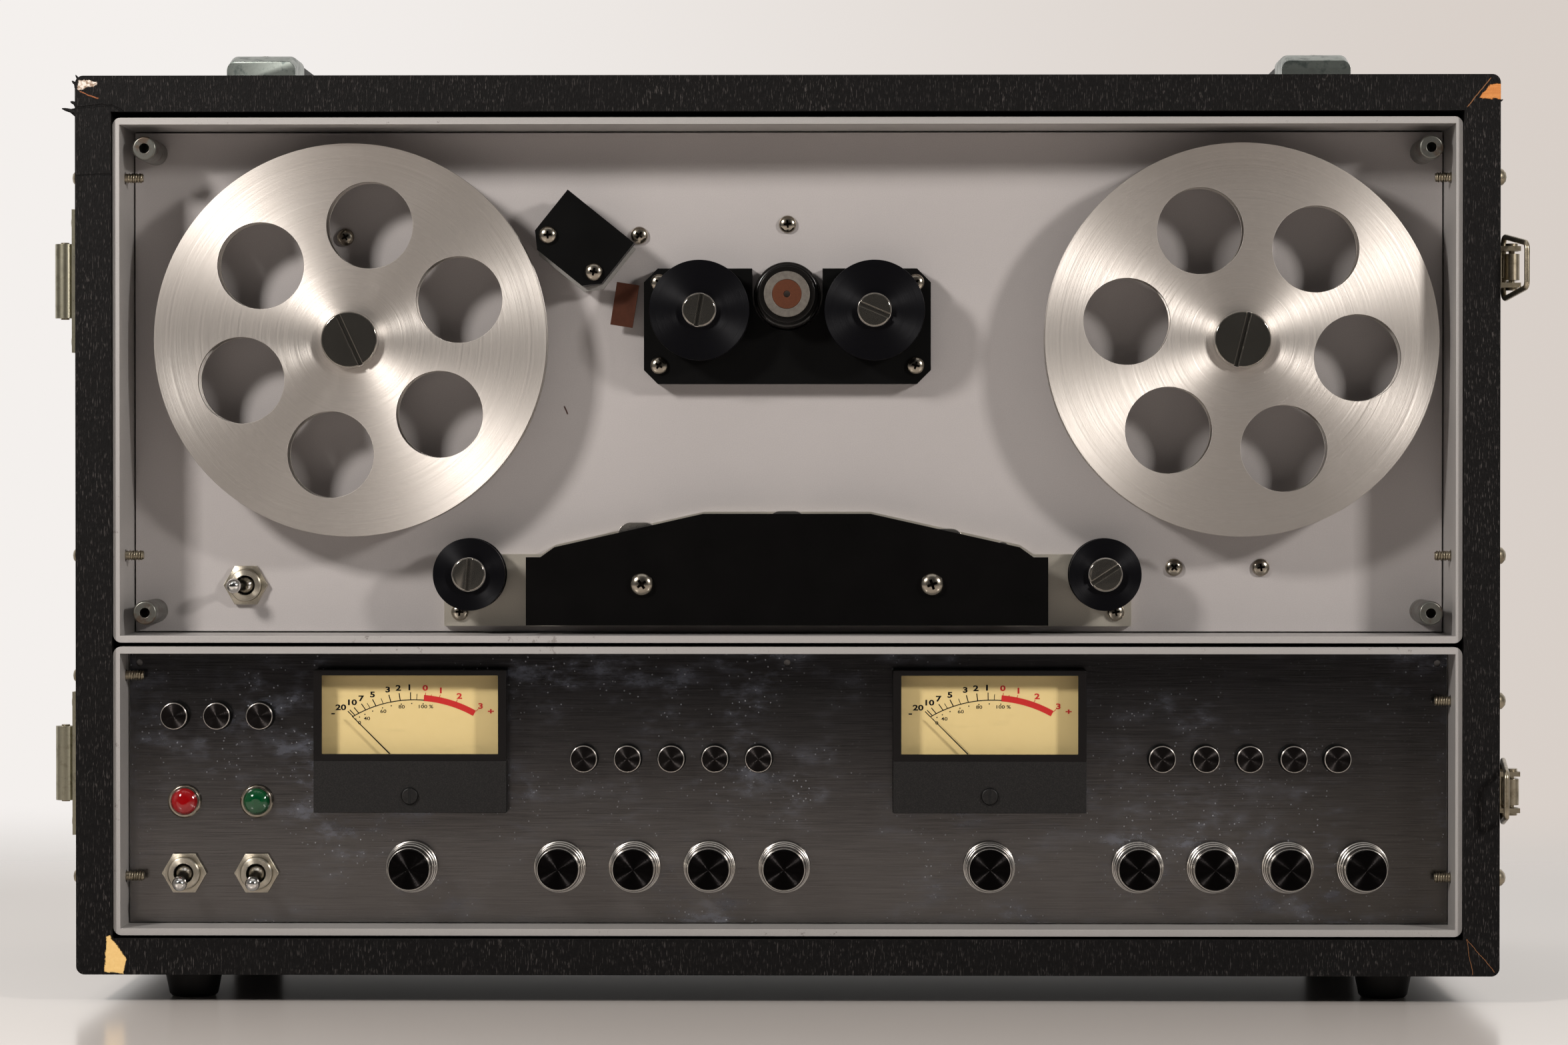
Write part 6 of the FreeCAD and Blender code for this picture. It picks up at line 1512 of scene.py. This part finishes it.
def dial_print():
    """The whole scale round the middle of a meter, at y = 0."""
    black = [tick(angle, ARC_RADIUS, 2.75, 0.34) for angle in TALL_TICKS]
    black += [tick(angle, ARC_RADIUS, 2.15, 0.22) for angle in SHORT_TICKS]
    red = [tick(angle, 45.2, length, 0.22) for angle, length in RED_TICKS]
    dots = [((x * MM, 0.0, z * MM), (0, 0, 0), (0.46 * MM, INK * MM, 0.46 * MM))
            for x, z in (polar(ARC, angle, 42.2) for angle in DOTS)]
    parts = [Scatter("black-tick", unit_block(), scale_black).made(black),
             Scatter("red-tick", unit_block(), scale_red).made(red),
             Scatter("dot", unit_disc(), scale_black).made(dots),
             arc_band(43.36, 43.7, -30.6, 4.6, 40, scale_black),
             arc_band(43.2, 45.4, 4.4, 29.2, 30, scale_red)]
    parts += [figure(*spot, 2.1, 1.42, 0.034, scale_black) for spot in FIGURES]
    parts += [figure(*spot, 2.1, 1.42, 0.034, scale_red) for spot in RED_FIGURES]
    parts += [figure(*spot, 1.25, 1.35, 0.012, scale_black) for spot in SMALL_FIGURES]
    return joined(*parts)


def cards(node):
    """Middle and front face of each dial card, from left to right."""
    shape = welded(node)
    found = [(solid.middle.copy(), solid.low.y) for solid in solids_in(shape)
             if near(solid.size.y, CARD_THICK, 0.1)]
    shape.free()
    return sorted(found, key=lambda card: card[0].x)


print_mesh = dial_print()
for side, (card, face) in zip(("left", "right"), cards("meter_cases")):
    scale = print_mesh.copy()
    scale.transform(Matrix.Translation((card.x * MM, (face - INK * 0.3) * MM, card.z * MM)))
    placed(f"{side}-dial-scale", scale, "meter_cases", extra=True)
    print(side, "dial:", len(scale.polygons), "faces")

# %% [markdown]
# ## Torn cloth
# At the two upper corners the cloth has split and stands away from the edge. Each rag is a thin
# curled tongue, closed all round, so that it has a thickness when seen from the side.

# %% Rags


def rag(corner, root, tip, width, curl, thick=0.45, steps=6):
    """A tongue that narrows and curls forwards. Root and tip are counted from a corner of the
    case, (x, y, z) in millimetres."""
    shape = bmesh.new()
    start, end = corner + Vector(root), corner + Vector(tip)
    along = (end - start).normalized()
    across = along.cross(Vector((0, 1, 0))).normalized()
    out = across.cross(along)
    rows = []
    for step in range(steps + 1):
        part = step / steps
        spot = start.lerp(end, part) + out * curl * part ** 2
        half = across * width / 2 * (1.0 - part * 0.92) * (1.0 + 0.25 * math.sin(9.0 * part))
        rows.append([shape.verts.new((spot + side * half + out * depth) * MM)
                     for side in (-1, 1) for depth in (-thick / 2, thick / 2)])
    close_bar(shape, rows)
    for face in shape.faces:
        face.smooth = True
    return as_mesh(shape, "rag", vinyl)


left_corner = Vector((case_low.x, case_low.y, case_high.z)) / MM
right_corner = Vector((case_high.x, case_low.y, case_high.z)) / MM
RAGS = ((left_corner, (1.5, 1.5, -13.2), (-4.8, 1.0, -11.6), 3.4, 0.4),
        (left_corner, (1.0, 1.0, -10.2), (-1.7, 0.8, -9.2), 3.0, 0.3),
        (left_corner, (1.0, 1.2, -3.6), (-1.2, 1.0, -1.8), 2.6, 0.2),
        (left_corner, (1.4, 1.2, -1.6), (0.1, 1.0, 0.3), 1.8, 0.2),
        (right_corner, (-0.8, 1.2, -9.8), (0.9, 0.9, -9.0), 1.8, 0.2))
rags = [rag(*measures) for measures in RAGS]
placed("torn-cloth", joined(*rags), "case_shell", extra=True)
print("rags:", len(rags))

# %% [markdown]
# ## A plain studio
# The unit stands on a pale, faintly glossy table. Two small lamps stand to the left and the right
# in front, which throw a soft shadow of each reel both ways across the deck, and a wide weak panel
# overhead fills in. The room behind the camera is dark, so polished metal has something dark to
# show.

# %% Floor


def table_finish():
    finish = Finish("table", specular_ior_level=0.5)
    across, along, _ = finish.axes()
    cloud = finish.noise(scale=5.0, detail=3.0)
    edges = (1.0 - abs(across).step(1.0, 2.2)) * along.step(-3.0, -1.6)
    finish.surface(base_color=finish.mix(cloud, linear(216, 209, 204), linear(208, 201, 196)),
                   roughness=0.16 + cloud * 0.06, alpha=(1.0 - along.step(0.25, 0.9)) * edges)
    return finish


floor_mesh = bpy.data.meshes.new("floor")
floor_mesh.from_pydata([(-4, -4, 0), (4, -4, 0), (4, 4, 0), (-4, 4, 0)], [], [(0, 1, 2, 3)])
floor_mesh.materials.append(table_finish().material)
floor = linked("floor", floor_mesh)
print("floor ready")

# %% Lights and world


def lamp(name, place, aim, size, power, colour):
    data = bpy.data.lights.new(name, "AREA")
    data.shape = "SQUARE"
    data.size = size
    data.energy = power
    data.color = colour
    toward = Vector(aim) - Vector(place)
    linked(name, data).matrix_world = (Matrix.Translation(place)
                                       @ toward.to_track_quat("-Z", "Y").to_matrix().to_4x4())


target = (0.0, deck_front, 0.18)
warm = (1.0, 0.955, 0.91)
lamp("left-lamp", (-0.705, -0.85, 0.70), target, 0.15, 9.4, warm)
lamp("right-lamp", (1.03, -1.02, 0.70), target, 0.15, 11.4, warm)
lamp("top-panel", (0.0, -0.3, 1.7), (0.0, 0.0, 0.2), 1.6, 4.5, (1.0, 0.98, 0.96))


def sky():
    """A pale backdrop for the camera, painted lighter on the left and darker on the right as light
    falls across it. Everything else sees a dim room that is darkest right behind the camera, so
    that polished parts keep their contrast."""
    world = bpy.data.worlds.new("studio")
    world.use_nodes = True
    bpy.context.scene.world = world
    tree = world.node_tree
    split = tree.nodes.new("ShaderNodeSeparateXYZ")
    tree.links.new(tree.nodes.new("ShaderNodeTexCoord").outputs["Generated"], split.inputs[0])
    room = blend(tree, split.outputs["Y"], (-0.98, -0.6), (0.02, 0.02, 0.02, 1.0),
                 (0.15, 0.145, 0.141, 1.0))
    room = blend(tree, split.outputs["Y"], (0.0, 0.5), room, (0.84, 0.81, 0.78, 1.0))
    # Painted light on the backdrop: lighter on the left and darker on the right, as light falls
    # across it.
    painted_backdrop_light = blend(tree, split.outputs["X"], (-0.17, 0.17), linear(244, 240, 237),
                 linear(216, 207, 200))
    final = tree.nodes.new("ShaderNodeMix")
    final.data_type = "RGBA"
    seen = tree.nodes.new("ShaderNodeLightPath")
    tree.links.new(seen.outputs["Is Camera Ray"], final.inputs[0])
    tree.links.new(room, final.inputs[6])
    tree.links.new(painted_backdrop_light, final.inputs[7])
    tree.links.new(final.outputs[2], tree.nodes["Background"].inputs["Color"])


def blend(tree, value, span, first, second):
    """A colour that goes from first to second as a value crosses a span."""
    rise = tree.nodes.new("ShaderNodeMapRange")
    rise.interpolation_type = "SMOOTHSTEP"
    tree.links.new(value, rise.inputs["Value"])
    rise.inputs["From Min"].default_value, rise.inputs["From Max"].default_value = span
    mix = tree.nodes.new("ShaderNodeMix")
    mix.data_type = "RGBA"
    mix.inputs[7].default_value = second
    if isinstance(first, tuple):
        mix.inputs[6].default_value = first
    else:
        tree.links.new(first, mix.inputs[6])
    tree.links.new(rise.outputs[0], mix.inputs[0])
    return mix.outputs[2]


sky()
bpy.context.scene.view_settings.view_transform = "Standard"
print("studio lit")
